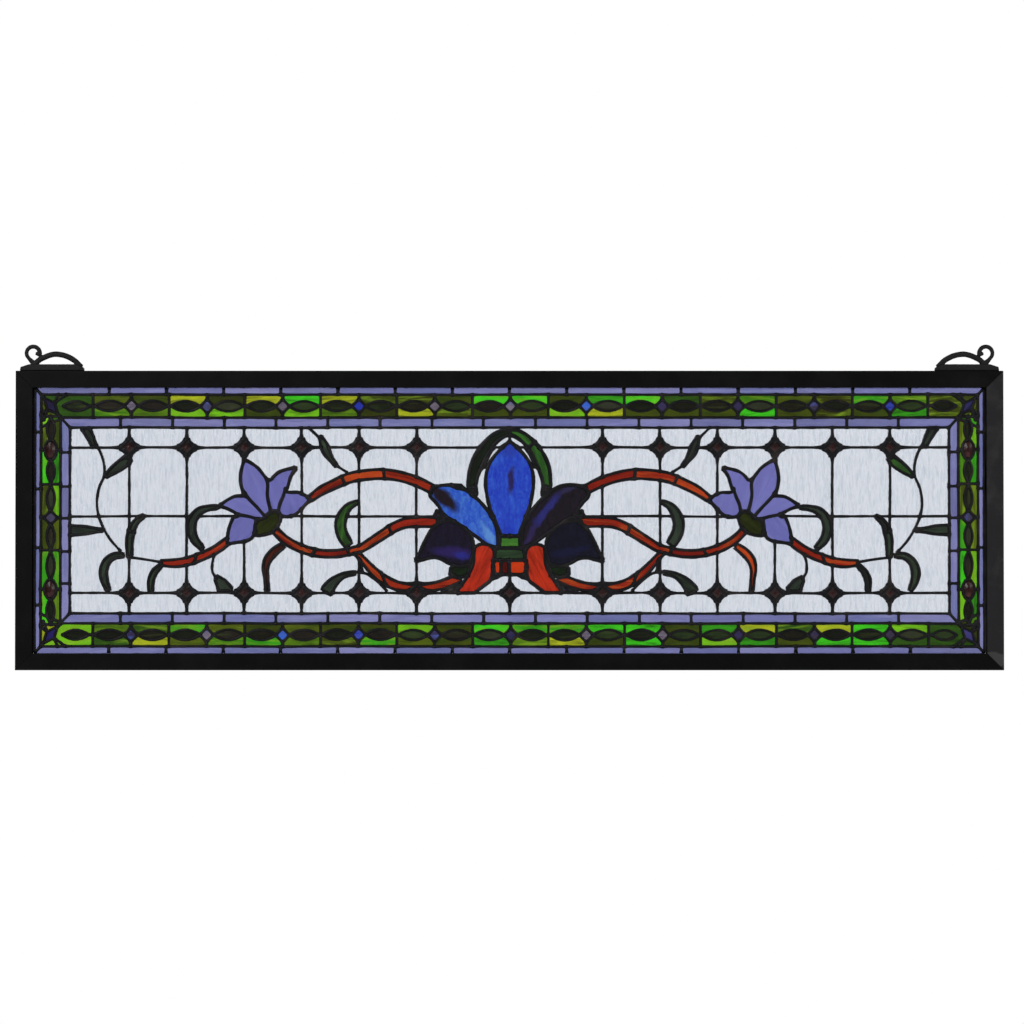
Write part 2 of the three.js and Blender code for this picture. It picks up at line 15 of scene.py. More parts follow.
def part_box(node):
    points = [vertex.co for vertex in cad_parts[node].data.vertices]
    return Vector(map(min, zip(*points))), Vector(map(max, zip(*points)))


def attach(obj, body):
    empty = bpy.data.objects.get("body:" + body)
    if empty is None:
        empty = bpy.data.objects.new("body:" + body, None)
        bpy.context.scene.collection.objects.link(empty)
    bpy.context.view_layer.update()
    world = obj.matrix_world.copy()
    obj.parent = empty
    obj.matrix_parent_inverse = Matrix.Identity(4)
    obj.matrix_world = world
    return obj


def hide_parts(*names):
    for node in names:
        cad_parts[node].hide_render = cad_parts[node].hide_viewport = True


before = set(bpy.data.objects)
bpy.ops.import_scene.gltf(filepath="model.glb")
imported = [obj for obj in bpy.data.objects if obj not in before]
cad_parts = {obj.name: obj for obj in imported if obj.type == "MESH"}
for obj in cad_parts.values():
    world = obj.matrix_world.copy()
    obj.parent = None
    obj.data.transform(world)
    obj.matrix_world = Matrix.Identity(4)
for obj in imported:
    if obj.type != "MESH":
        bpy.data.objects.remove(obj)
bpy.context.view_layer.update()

MM = 0.001
LEFT_LOW, LEFT_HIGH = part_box("frame_left")
RIGHT_LOW, RIGHT_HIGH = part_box("frame_right")
TOP_LOW, TOP_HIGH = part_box("frame_top")
MIDDLE_Z = (LEFT_LOW.z + LEFT_HIGH.z) / 2
HALF_WIDTH = RIGHT_HIGH.x / MM
HALF_HEIGHT = (TOP_HIGH.z - MIDDLE_Z) / MM
FACE = (TOP_HIGH.z - TOP_LOW.z) / MM
HALF_DEPTH = TOP_HIGH.y / MM

# ---------------------------------------------------------------- sizes

GLASS_FACE = 1.5            # half the thickness of the glass
TILE_INSET = 0.3            # the copper foil round each piece of glass
SEAM_HALF = 1.15            # half the width of a solder seam, and of the broader ones round the pattern
BROAD_HALF = {"palmette": 1.6, "lily": 1.5, "vine": 1.3, "leaf": 1.3}
SEAM_RISE = 0.95            # how far a seam stands above the glass
SEAM_WIDTH = 2.0            # the width that the pattern leaves for a seam
SOLID_CELL = 4.5            # a space smaller than this, in square millimetres, is filled with solder
SOLID_GAP = 14.0            # and so is a gap this small in the clear glass
WELD = 0.02
STEPS_PER_SPAN = 6
BEAD_STEP = 3.0
SIGHT_X = HALF_WIDTH - FACE - 0.2
SIGHT_Z = HALF_HEIGHT - FACE - 0.2
SLOT = {"depth": 7.6, "width": 3.8}
WOBBLE = 0.45               # how far the hand laid seams wander

FIELD = (375.65, 78.85)     # middle lines of the long seams, from the field outwards
INNER = (383.65, 87.35)
OUTER = (400.4, 106.9)
PANEL = (411.4, 118.8)
LATTICE = {"first": 79.5, "pitch": 49.1, "uprights": 6, "top": 62.0, "middle": 3.5, "bottom": -61.5}
JEWEL = 6.1                 # half diagonal of a jewel's seam
SEAT_STRETCH = 0.9935       # the glass is a little narrower than the frame
SEAT_SEAM = (405.6, 411.5)  # with a run of solder down either end

# ---------------------------------------------------------------- the pattern
# Stations are [x, z, width] along the middle of a band.

VINES = {
    "vine_tail": [[[297, -36, 2.4], [286, -36.2, 4.2], [276, -34.8, 4.4], [266, -31.6, 4.4],
                   [258, -28.4, 4.2], [250.6, -24.6, 4.2], [244, -20, 4.2], [240.6, -17, 3.4]]],
    "vine_upper": [[[171.5, 17.8, 2.6], [161.5, 25, 4.6], [148.5, 31.5, 5.2], [136.5, 36.3, 5.6],
                    [120.5, 38.8, 5.8], [103.3, 39, 5.8], [90.3, 36.5, 5.4], [76, 31.5, 5.4],
                    [62, 24.5, 5]]],
    "vine_lower": [[[201, -7.5, 3.4], [193, -15.6, 4], [182.5, -22, 4], [170.5, -26.2, 3.8],
                    [158.5, -28, 3.8], [145.5, -27.6, 3.8], [136, -25.8, 3.6], [127, -23.4, 3.8],
                    [118.4, -18.3, 4.4], [108.4, -12, 4.8], [98.3, -5.7, 5], [89.2, -2.2, 5.4],
                    [78, -1.1, 6], [62, -1.2, 6]],
                   [[131, -27, 2], [127, -31, 2.2], [122.6, -36, 3], [116, -43, 4.2], [107, -50, 4.8],
                    [96, -55.4, 5], [84, -57, 4.4], [72, -56.8, 4.2], [60, -55, 4.8], [50, -51.6, 5],
                    [42.8, -48.6, 4.6]]],
}

LEAVES = {
    "leaf_jewel": [[[344, 38.5, 1], [336.5, 44, 4.8], [329, 49.6, 5.4], [325.6, 52.4, 4]]],
    "leaf_fork": [[[330.5, -29.6, 1.6], [338, -30.4, 2.6], [344, -35, 3.4], [347, -43, 4.2],
                   [346.2, -51, 3.4], [343, -58.6, 1.4]],
                  [[313.4, 3.2, 0.8], [319, -1.2, 2], [322.6, -8, 3], [324.4, -15, 3.4],
                   [324.8, -23, 2.8], [324.6, -30, 2]]],
    "leaf_foot": [[[298, -38.4, 1], [303, -43.2, 2.2], [306, -50, 2.6], [306.4, -60.2, 1.6]]],
    "leaf_hook": [[[249.5, 11, 1], [257, 10.4, 1.8], [265, 7.6, 3.6], [270.6, 0.4, 4.6],
                   [271.6, -8, 4.4], [269, -16, 3.8], [263, -23, 2]]],
    "leaf_drop": [[[194, -21.6, 2.6], [201.2, -27, 4], [206.8, -34, 3.6], [208.6, -41, 2.2],
                   [208, -48, 1.2], [206.8, -60.2, 0.8]]],
    "leaf_top": [[[161, 70, 0.6], [158.6, 64.4, 3.8], [156.4, 58.4, 4], [152.6, 52.2, 1.8],
                  [148.4, 47, 0.8]]],
    "leaf_loop": [[[130.5, 15.6, 0.8], [137.6, 11.8, 3], [142.2, 5.6, 5.2], [144.4, -0.8, 6.2],
                   [144.4, -7, 6.2], [142.2, -13.4, 6.2], [138, -20, 5.6]]],
}

# Small leaves in the clear field, too slight for solids of their own: as bands and as outlines.
SPRIG_BANDS = [
    [[375.5, -8.2, 6.5], [364, -8.2, 5.2], [356, -8.2, 2.4], [348.6, -8.2, 0]],
    [[132.7, -44.5, 1.2], [141.8, -46.4, 1.6], [148, -50, 4], [153, -55, 6.4], [156.5, -60, 8]],
]
SPRIG_OUTLINES = [
    [[364.6, 77.6], [359.6, 69.4], [356, 63.4], [353.4, 63.8], [356.4, 71], [359.6, 77.6]],
    [[249.5, -48.2], [243.6, -51.4], [238.4, -57.4], [238, -58.6], [248, -58.6], [250.4, -51.2]],
]

LILY = {
    "outline": [
        [[218.6, -9], [220.4, -13.8], [226, -16.8], [233, -17.8], [240.2, -19]],
        [[240.2, -19], [239.6, -12], [238, -5], [235.4, 1.4]],
        [[235.4, 1.4], [229.5, 4.4]],
        [[229.5, 4.4], [236, 8.4], [241, 10.8], [246, 12.5]],
        [[246, 12.5], [240, 16.6], [234.5, 19.2], [228, 19.8], [225, 20.6]],
        [[225, 20.6], [228.2, 28.5], [229, 36], [228, 43.4], [226, 50.4]],
        [[226, 50.4], [220.4, 47.2], [216, 44], [211.4, 38.4], [207.3, 33]],
        [[207.3, 33], [203.6, 33.6], [200.6, 37], [196.3, 40.4], [191.4, 42.2], [184, 43.8]],
        [[184, 43.8], [187.8, 38], [190, 31], [192.6, 23.4]],
        [[192.6, 23.4], [187.5, 22.8], [181, 22.8], [175.5, 20.4], [171.4, 17.6]],
        [[171.4, 17.6], [175.6, 13.6], [179.7, 9], [184.7, 5.2], [189.7, 4], [195.5, 4.6]],
        [[195.5, 4.6], [208, -6], [218.6, -9]],
    ],
    "seams": [
        [[210, -1], [214, 0.6], [220, 2.6], [229.5, 4.4], [234, 5.2]],
        [[206, 0], [210, 4.6], [216.5, 11.6], [222.6, 17.8], [225, 20.6], [227.6, 23.6]],
        [[203, 3], [204.3, 8.8], [206, 15], [207.2, 22], [206.8, 29], [207.4, 37]],
        [[199, 3], [197.6, 8.4], [196.2, 14.4], [193.8, 20], [192.6, 23.4], [191.4, 27]],
    ],
    "calyx": [
        [[215.4, -0.4], [216.6, -6], [215.8, -12.2]],
        [[215.8, -12.2], [209.4, -11.4], [203.6, -9.4], [199.2, -4.8], [196.6, 0.6]],
        [[196.6, 0.6], [197, 5], [200.6, 7], [205, 5.4], [209.6, 1], [215.4, -0.4]],
    ],
}

PALMETTE = {
    "centre": [[0, 65.8, 0], [0, 62.6, 8.4], [0, 59, 15.6], [0, 55, 22.8], [0, 50, 30.2], [0, 40, 37.4],
               [0, 30, 38.6],
               [0, 20, 35.8], [0, 10, 31], [0, 0, 23.2], [0, -7, 17.4], [0, -12.2, 14.4]],
    "collar": [[7.4, -14.4], [8, -22.6], [11.2, -25], [12.2, -33], [13.2, -37], [13, -45]],
    "arch": [[0, 74.8, 3], [9.6, 71.8, 4.6], [17.4, 65, 5.8], [23.2, 57.4, 6.8], [27, 50, 7.4],
             [29.8, 42.4, 6.8], [31.4, 35, 5.2], [31.8, 29, 4.6], [29.8, 22.4, 2.8]],
    "leg": [
        [[28.8, -23.4], [29.4, -28], [29.6, -34], [31, -40.5], [33.8, -45.4], [36.6, -50.4],
         [40.6, -55.4], [44, -60.4]],
        [[44, -60.4], [30.2, -60.4]],
        [[30.2, -60.4], [22, -54.2], [17.2, -50.4], [15.7, -46], [15.2, -40], [14.6, -34], [14.2, -29],
         [14.8, -25.4]],
        [[14.8, -25.4], [18, -22.2], [22, -21.2], [26, -21.6], [28.8, -23.4]],
    ],
    "bud": [[34.4, -38.6], [47, -38.6], [49.6, -41], [49.4, -45], [44, -47.4], [36.4, -46]],
    "jewel": (31, 26.5, 2.5),
}
SIDE_PETAL = {
    "upper": [
        [[64.5, 27.6], [58, 28.8], [50, 29.2], [43, 28], [36, 24], [27.5, 17], [20.5, 9], [15.4, 0.5],
         [12.2, -8], [10.8, -22]],
        [[10.8, -22], [20, -19], [27, -13.7], [33.5, -9], [41, -3.5], [49, 1.5], [55.5, 5]],
        [[55.5, 5], [58.4, 11], [62.4, 16.4], [66.6, 21.4], [64.5, 27.6]],
    ],
    "lower": [
        [[58, -1.4], [48, -1.6], [40, -6.4], [34.4, -13], [32.2, -20], [32.2, -28], [34.6, -36.6]],
        [[34.6, -36.6], [44, -37.6], [51.6, -35.4], [58, -31.6], [66, -30.4], [73, -32], [78.6, -33]],
        [[78.6, -33], [75.6, -27], [72.6, -20.6], [69.4, -14], [65.4, -7.6], [58, -1.4]],
    ],
}

# Thick places in the solder, where seams run together.
SOLDER_PATCHES = [
    [[13, -46], [15, -49.8], [10.6, -48.8], [7, -46.4]],
    [[56, 5], [62, 8.6], [64, 4], [60, -1], [56, 0]],
    [[20.6, 45.5], [19.6, 50], [16.8, 56], [13, 61.5], [18, 60], [23, 52], [26, 45], [24, 44.2]],
    [[44, -60.4], [41, -54], [48, -55.5], [58, -60.4]],
]
LEFT_PETAL_PATCH = [[-50, 30.6], [-45, 27.6], [-38.5, 27.2], [-41, 30.4]]

# Seams that are stems, laid through the clear glass.
STEMS = [
    [[353.4, 63.8], [351.5, 61.5], [348.3, 55], [346.2, 46], [346.5, 37.5], [350.2, 29], [352.5, 17],
     [351.3, 5], [346.8, -6.5], [340.8, -16.5], [332.5, -26]],
    [[326, -31.2], [312, -33], [297, -35.4]],
    [[171.4, 79], [162.5, 70.5]],
    [[148.4, 47], [139, 41]],
    [[251.8, -28], [254, -38], [253.6, -44], [250.4, -49]],
    [[105, -59.5], [110.4, -54], [116.4, -49], [122.4, -45], [128.4, -44], [132, -43.6]],
    [[128, -30], [125.5, -44]],
    [[263, -23], [261, -29]],
]

# Seams that part one piece of coloured glass from the next, by what they cross.
VINE_JOINTS = [
    [[271, -42], [266, -24]], [[171, -34], [164, -20]], [[145, 41], [139, 27]], [[108, 47], [106, 30]],
    [[105, 0], [99, -16]], [[112, -38], [104, -58]], [[136, -34], [140, -18]],
]
COLLAR_JOINTS = [
    [[-20, -23.5], [20, -23.5]], [[-20, -33.8], [20, -33.8]], [[-7.5, -33.8], [-7.5, -48]],
    [[-0.5, -33.8], [-0.5, -48]],
]
ARCH_JOINTS = [[[0, 82], [0, 64]], [[12, 58], [26, 71]]]
LEAF_JOINTS = [[[314, -12], [330, -8]]]

# The border: how the strips of the rims and the units of the green ribbon are spaced.
OUTER_PITCH, OUTER_SHIFT = 48.89, 0.0
INNER_PITCH, INNER_SHIFT = 44.33, 22.17
RIM_SIDE = {"outer": [75, 27, -23, -72], "inner": [58, 29, 2, -26, -53.5]}
UNIT = 64.87                # from one diamond of the ribbon to the next
UNIT_SHIFT = 0.85
LENS = {"level": 4.4, "upright": 3.4, "gap": 1.4, "point": 1.9}
DIAMOND = 6.0
ROSETTE = (5.2, 8.6)
SIDE_UNITS = {"rosettes": [60.0, -58.5], "diamond": 2.5, "joints": [31.0, -25.0]}
KITE = (9.5, 4.2)           # half length and half width of the piece on each corner's mitre

HANGER = {
    "depth": 4.6,
    "plate_depth": 9.0,
    "plate": [[415.6, 127.1], [415.2, 130.3], [408, 132.6], [368, 132.6], [361.6, 129.8],
              [361.4, 127.1]],
    "arch": [[363.6, 130.4, 4.2], [370.6, 136.6, 4.8], [378.6, 140.3, 4.8], [387, 141.3, 4.8],
             [394.6, 139, 4.8], [400.6, 135.6, 4.8], [403.6, 132, 5]],
    "hook_centre": (404.8, 142.2),
    "hook_radius": 5.6,
    "hook_stroke": 3.2,
    "hook_root": [403.4, 132.4, 5.4],
    "hook_tip": [402.7, 142, 2.6],
    "hook_turn": (-45, 188),
    "hook_steps": 14,
}

# ---------------------------------------------------------------- colours

def linear(red, green, blue):
    """A display colour of 0 to 255 as linear light."""
    def channel(value):
        value /= 255
        return value / 12.92 if value <= 0.04045 else ((value + 0.055) / 1.055) ** 2.4
    return (channel(red), channel(green), channel(blue), 1.0)


# Each family of glass: the colours its pieces are cut from, and the colours of the wisps in them.
PALETTES = {
    "lavender": ([(126, 128, 184), (134, 136, 192), (118, 124, 180), (140, 140, 194), (124, 126, 176)],
                 [(150, 152, 202), (108, 112, 168)]),
    "petal_lavender": ([(112, 114, 186), (120, 120, 192)], [(134, 136, 202), (98, 100, 172)]),
    "orange": ([(150, 36, 18), (176, 50, 22), (128, 28, 16), (196, 72, 28), (160, 40, 20)],
               [(100, 20, 12), (206, 92, 36)]),
    "leaf": ([(46, 54, 47), (50, 60, 50), (38, 45, 40), (54, 66, 53)], [(30, 34, 32), (68, 86, 60)]),
    "arch": ([(24, 32, 22)], [(34, 48, 28)]),
    "calyx": ([(36, 42, 12)], [(58, 68, 20)]),
    "green": ([(70, 220, 34), (128, 208, 30), (190, 200, 36), (60, 170, 28), (70, 132, 18), (96, 138, 22),
               (92, 108, 20), (66, 78, 16), (58, 62, 14), (72, 84, 16), (52, 92, 22)],
              [(40, 66, 14), (150, 190, 44)]),
    "lens": ([(32, 31, 20), (28, 34, 20), (46, 62, 32), (42, 37, 31), (25, 28, 18), (56, 60, 44)],
             [(22, 22, 14), (60, 72, 36)]),
    "diamond": ([(58, 108, 220), (78, 72, 100), (44, 60, 180), (60, 54, 92), (66, 58, 80),
                 (132, 122, 136)],
                [(92, 110, 200), (44, 40, 84)]),
    "kite": ([(44, 36, 110), (58, 52, 104), (66, 60, 120), (40, 34, 72)], [(70, 72, 140), (30, 26, 60)]),
    "ruby": ([(50, 20, 20)], [(34, 12, 14)]),
    "clear": ([(255, 255, 255)], [(255, 255, 255)]),
}

# Pieces cut from a sheet of their own.
PIECE_COLOURS = {
    "leaf_drop_right": ((204, 78, 28), (168, 48, 20)),
    "leaf_drop_left": ((78, 32, 22), (52, 22, 16)),
    "leaf_jewel_right": ((56, 98, 42), (36, 60, 32)),
    "leaf_loop_left": ((44, 76, 34), (74, 132, 46)),
    "palmette_bud_right": ((26, 40, 22), (17, 23, 15)),
    "palmette_bud_left": ((26, 40, 22), (17, 23, 15)),
    "palmette_leg_right": ((204, 54, 26), (132, 28, 16)),
    "palmette_leg_left": ((200, 52, 28), (136, 30, 18)),
}

# ---------------------------------------------------------------- curves and outlines

def smooth(stations, steps=STEPS_PER_SPAN):
    """A smooth curve through stations of any number of values, spaced by their distance apart."""
    gaps = [math.dist(a[:2], b[:2]) for a, b in zip(stations, stations[1:])]
    slopes = [[(q - p) / gap for p, q in zip(a, b)] for a, b, gap in zip(stations, stations[1:], gaps)]

    def tangent(i):
        if i in (0, len(gaps)):
            return slopes[min(i, len(gaps) - 1)]
        before, after = gaps[i - 1], gaps[i]
        return [(p * after + q * before) / (before + after) for p, q in zip(slopes[i - 1], slopes[i])]

    walked = []
    for i, gap in enumerate(gaps):
        for step in range(steps):
            t = step / steps
            start, end = 2 * t**3 - 3 * t**2 + 1, 3 * t**2 - 2 * t**3
            leave, arrive = gap * (t**3 - 2 * t**2 + t), gap * (t**3 - t**2)
            walked.append([a * start + b * end + u * leave + v * arrive for a, b, u, v in zip(
                stations[i], stations[i + 1], tangent(i), tangent(i + 1))])
    walked.append(list(stations[-1]))
    return walked


def normals(line):
    """Unit normals, to the left of the way along, at each point of a line."""
    found = []
    for i in range(len(line)):
        before, after = line[max(i - 1, 0)], line[min(i + 1, len(line) - 1)]
        dx, dz = after[0] - before[0], after[1] - before[1]
        length = math.hypot(dx, dz) or 1
        found.append((-dz / length, dx / length))
    return found


def area(outline):
    return sum(a[0] * b[1] - b[0] * a[1] for a, b in zip(outline, outline[1:] + outline[:1])) / 2


def turned_left(outline):
    return outline[::-1] if area(outline) < 0 else outline


def mirrored(outline):
    return turned_left([[-x, z] for x, z in outline])


def band(stations, steps=STEPS_PER_SPAN):
    """The closed outline of a band from its stations."""
    line = smooth(stations, steps)
    edges = []
    for side in (1, -1):
        edges.append([[x + side * nx * width / 2, z + side * nz * width / 2]
                      for (x, z, width), (nx, nz) in zip(line, normals(line))])
    left, right = edges[0], edges[1][::-1]
    if stations[-1][2] == 0:
        right = right[1:]
    if stations[0][2] == 0:
        right = right[:-1]
    return turned_left(left + right)


def runs(curves):
    """The closed outline whose smooth curves meet end to end."""
    return turned_left([point for curve in curves for point in smooth(curve)[:-1]])


def grown(outline, distance=SEAM_WIDTH / 2):
    """The outline moved out to the middle line of the seam round it; a sharp corner is cut across."""
    count = len(outline)
    edges = []
    for i in range(count):
        (x, z), (nx, nz) = outline[i][:2], outline[(i + 1) % count][:2]
        length = math.hypot(nx - x, nz - z) or 1
        edges.append(((nx - x) / length, (nz - z) / length))
    moved = []
    for i, (x, z) in enumerate(outline):
        (ax, az), (bx, bz) = edges[i - 1], edges[i]
        turn, along = ax * bz - az * bx, ax * bx + az * bz
        if turn > 0 and along < 0.2:
            reach = distance * 0.5
            moved.append([x + az * distance + ax * reach, z - ax * distance + az * reach])
            moved.append([x + bz * distance - bx * reach, z - bx * distance - bz * reach])
        else:
            scale = distance / max(1 + along, 0.35)
            moved.append([x + (az + bz) * scale, z - (ax + bx) * scale])
    return moved


def both_sides(edge):
    return turned_left(edge + [[-x, z] for x, z in edge][::-1])


def across_middle(stations):
    middle, *right = stations
    return [[-x, *rest] for x, *rest in right[::-1]] + [middle] + right


def lozenge(x, z, half_x, half_z):
    return [[x + half_x, z], [x, z + half_z], [x - half_x, z], [x, z - half_z]]


def turned(points, x, z, angle):
    """Points moved to x, z and turned about it."""
    cos, sin = math.cos(angle), math.sin(angle)
    return [[x + px * cos - pz * sin, z + px * sin + pz * cos] for px, pz in points]


def spaced(line, step):
    """The line with points no farther apart than step."""
    found = [line[0]]
    for a, b in zip(line, line[1:]):
        parts = max(1, math.ceil(math.dist(a, b) / step))
        found += [[a[0] + (b[0] - a[0]) * k / parts, a[1] + (b[1] - a[1]) * k / parts]
                  for k in range(1, parts + 1)]
    return found


# ---------------------------------------------------------------- what the panel is made of
# A shape is one area of glass: the solid it stands for, its family and its outline. Earlier shapes lie
# over later ones. A cut is a seam through the families that it names.

Shape = namedtuple("Shape", "node family outline")
Cut = namedtuple("Cut", "families line")
SIDES = (("right", 1), ("left", -1))
shapes = []
cuts = []


def add_pair(name, family, outlines):
    for word, side in SIDES:
        for outline in outlines:
            shapes.append(Shape(f"{name}_{word}", family, outline if side > 0 else mirrored(outline)))


def add_cuts(families, lines, mirror=True):
    for line in lines:
        cuts.append(Cut(families, line))
        if mirror:
            cuts.append(Cut(families, [[-x, z] for x, z in line]))


def lay_motif():
    """The middle motif, the lilies, the vines and the leaves, in the order that they overlap."""
    shapes.append(Shape("solder_seams", "solder", turned_left(LEFT_PETAL_PATCH)))
    shapes.append(Shape("palmette_petal_centre", "petal_centre", grown(band(PALMETTE["centre"]))))
    add_pair("palmette_petal_upper", "petal_upper", [grown(runs(SIDE_PETAL["upper"]))])
    shapes.append(Shape("palmette_collar", "collar", grown(both_sides(PALMETTE["collar"]))))
    add_pair("palmette_leg", "orange", [grown(runs(PALMETTE["leg"]))])
    add_pair("palmette_petal_lower", "petal_lower", [grown(runs(SIDE_PETAL["lower"]))])
    add_pair("palmette_bud", "leaf", [grown(turned_left(PALMETTE["bud"]))])
    x, z, half = PALMETTE["jewel"]
    add_pair("palmette_jewel", "ruby", [lozenge(x, z, half, half)])
    shapes.append(Shape("palmette_arch", "arch", grown(band(across_middle(PALMETTE["arch"])))))
    add_pair("lily_calyx", "calyx", [grown(runs(LILY["calyx"]))])
    add_pair("lily_petals", "petal_lavender", [grown(runs(LILY["outline"]))])
    add_pair("jewel", "ruby", [lozenge(x, z, JEWEL, JEWEL) for x, z in jewel_places() if x > 0])
    shapes.append(Shape("jewel_right", "ruby", lozenge(0, LATTICE["bottom"], JEWEL, JEWEL)))
    for name, bands in VINES.items():
        add_pair(name, "orange", [grown(band(stations)) for stations in bands])
    for name, bands in LEAVES.items():
        add_pair(name, "leaf", [grown(band(stations)) for stations in bands])
    add_pair("leaf_foot", "leaf", [grown(band(stations)) for stations in SPRIG_BANDS])
    add_pair("leaf_foot", "leaf", [grown(turned_left(outline)) for outline in SPRIG_OUTLINES])
    add_pair("solder_seams", "solder", [turned_left(outline) for outline in SOLDER_PATCHES])
    add_cuts({"orange"}, VINE_JOINTS)
    add_cuts({"collar"}, COLLAR_JOINTS, mirror=False)
    add_cuts({"arch"}, ARCH_JOINTS, mirror=False)
    add_cuts({"leaf"}, LEAF_JOINTS)
    add_cuts({"petal_lavender"}, [smooth(line) for line in LILY["seams"]])


def upright_places():
    return [LATTICE["first"] + i * LATTICE["pitch"] for i in range(LATTICE["uprights"])]


def jewel_places():
    return [(x, z) for x in upright_places() for z in (LATTICE["top"], LATTICE["bottom"])]


def lay_lattice():
    """The clear field and the seams that cross it."""
    wide, high = FIELD
    for z in (LATTICE["top"], LATTICE["middle"], LATTICE["bottom"]):
        cuts.append(Cut({"clear"}, spaced([[-wide, z], [wide, z]], 12)))
    for x in upright_places():
        add_cuts({"clear"}, [spaced([[x, -high], [x, high]], 12)])
    cuts.append(Cut({"clear"}, spaced([[0, -high], [0, high]], 12)))
    add_cuts({"clear"}, [smooth(stem) for stem in STEMS])
    shapes.append(Shape("clear_field", "clear", [[-wide, -high], [wide, -high], [wide, high],
                                                [-wide, high]]))


def lay_band(name, family, inner, outer):
    """The four mitred strips of a band of the border."""
    (ix, iz), (ox, oz) = inner, outer
    level = [[-ix, iz], [ix, iz], [ox, oz], [-ox, oz]]
    upright = [[ix, -iz], [ox, -oz], [ox, oz], [ix, iz]]
    shapes.append(Shape(f"{name}_top", family, turned_left(level)))
    shapes.append(Shape(f"{name}_bottom", family, turned_left([[x, -z] for x, z in level])))
    shapes.append(Shape(f"{name}_right", family, turned_left(upright)))
    shapes.append(Shape(f"{name}_left", family, mirrored(upright)))


def lay_rims():
    """The lavender strips: joints every pitch along the length, and chosen ones up the sides."""
    for side in (1, -1):
        for pitch, shift, low, high, reach in (
                (OUTER_PITCH, OUTER_SHIFT, OUTER[1], PANEL[1], 386),
                (INNER_PITCH, INNER_SHIFT, FIELD[1], INNER[1], 366)):
            first = math.ceil((-reach - shift) / pitch)
            last = math.floor((reach - shift) / pitch)
            for i in range(first, last + 1):
                x = shift + i * pitch
                cuts.append(Cut({"lavender"}, [[x, side * low], [x, side * high]]))
        for z in RIM_SIDE["outer"]:
            cuts.append(Cut({"lavender"}, [[side * OUTER[0], z], [side * PANEL[0], z]]))
        for z in RIM_SIDE["inner"]:
            cuts.append(Cut({"lavender"}, [[side * FIELD[0], z], [side * INNER[0], z]]))
    near, far = SEAT_SEAM
    for start, end in ((near, far), (-far, -near)):
        shapes.append(Shape("solder_seams", "solder", [[start, -PANEL[1]], [end, -PANEL[1]],
                                                       [end, PANEL[1]], [start, PANEL[1]]]))
    lay_band("inner_rim", "lavender", FIELD, INNER)
    lay_band("outer_rim", "lavender", OUTER, PANEL)


def lens(start, end, half):
    """A pointed oval from start to end along X."""
    middle = (start + end) / 2
    reach = (end - start) / 2
    steps = 9
    upper = [[middle + reach * math.cos(math.pi * i / steps),
              half * math.sin(math.pi * i / steps) ** LENS["point"]] for i in range(steps + 1)]
    return turned_left(upper + [[x, -z] for x, z in upper[1:-1]][::-1])


def lay_ribbon_part(node, place, half):
    """What a stretch of ribbon holds. place turns lengths along and across the ribbon into x, z."""
    def shape(family, outline):
        shapes.append(Shape(node, family, turned_left([place(t, v) for t, v in outline])))

    def cut(line):
        cuts.append(Cut({"green"}, [place(t, v) for t, v in line]))

    return shape, cut


def jewel_level(half):
    """Whether a stretch of ribbon runs level, which the broader top and bottom do."""
    return half > (OUTER[0] - INNER[0]) / 2 + 0.5


def lay_unit(shape, cut, centre, joints, half, jewel):
    """One jewel of the ribbon with the lens on each side of it, out to the joints."""
    if jewel == "diamond":
        shape("diamond", lozenge(centre, 0, DIAMOND, DIAMOND))
        tip = DIAMOND
    else:
        shape("ruby", [[centre + px, pz] for px, pz in rosette_outline()])
        tip = ROSETTE[1]
    cut([[centre, -half], [centre, half]])
    for joint in joints:
        way = 1 if joint > centre else -1
        reach = abs(joint - centre)
        start, end = tip - 0.4, reach - LENS["gap"]
        outline = lens(start, end, LENS["level" if jewel_level(half) else "upright"])
        shape("lens", [[centre + way * t, v] for t, v in outline])
        cut([[centre + way * end, 0], [joint, 0]])
        cut([[joint, -half], [joint, half]])


def rosette_outline():
    across, along = ROSETTE
    return [[along * math.cos(2 * math.pi * i / 12), across * math.sin(2 * math.pi * i / 12)]
            for i in range(12)]


def lay_ribbon():
    """The green ribbon: diamonds and lenses along top and bottom, rosettes and lenses up the sides."""
    middle_z, half_z = (INNER[1] + OUTER[1]) / 2, (OUTER[1] - INNER[1]) / 2
    middle_x, half_x = (INNER[0] + OUTER[0]) / 2, (OUTER[0] - INNER[0]) / 2
    for word, side in (("top", 1), ("bottom", -1)):
        shape, cut = lay_ribbon_part(f"ribbon_{word}", lambda t, v: [t, side * (middle_z + v)], half_z)
        for i in range(-5, 6):
            centre = UNIT_SHIFT + i * UNIT
            lay_unit(shape, cut, centre, (centre - UNIT / 2, centre + UNIT / 2), half_z, "diamond")
        for way in (1, -1):
            joint = UNIT_SHIFT + way * 5.5 * UNIT
            end = way * (INNER[0] - 1)
            shape("lens", [[joint + way * t, v] for t, v in lens(3.2, abs(end - joint) - 1, 4.2)])
            cut([[joint, 0], [joint + way * 3.2, 0]])
    for word, side in SIDES:
        shape, cut = lay_ribbon_part(f"ribbon_{word}", lambda t, v: [side * (middle_x + v), t], half_x)
        high, low = SIDE_UNITS["rosettes"]
        upper, lower = SIDE_UNITS["joints"]
        lay_unit(shape, cut, high, (upper, INNER[1] + 1), half_x, "rosette")
        lay_unit(shape, cut, SIDE_UNITS["diamond"], (lower, upper), half_x, "diamond")
        lay_unit(shape, cut, low, (-INNER[1] - 1, lower), half_x, "rosette")
    for side_x in (1, -1):
        for side_z in (1, -1):
            lay_corner(side_x, side_z, middle_x, middle_z)
    lay_band("ribbon", "green", INNER, OUTER)


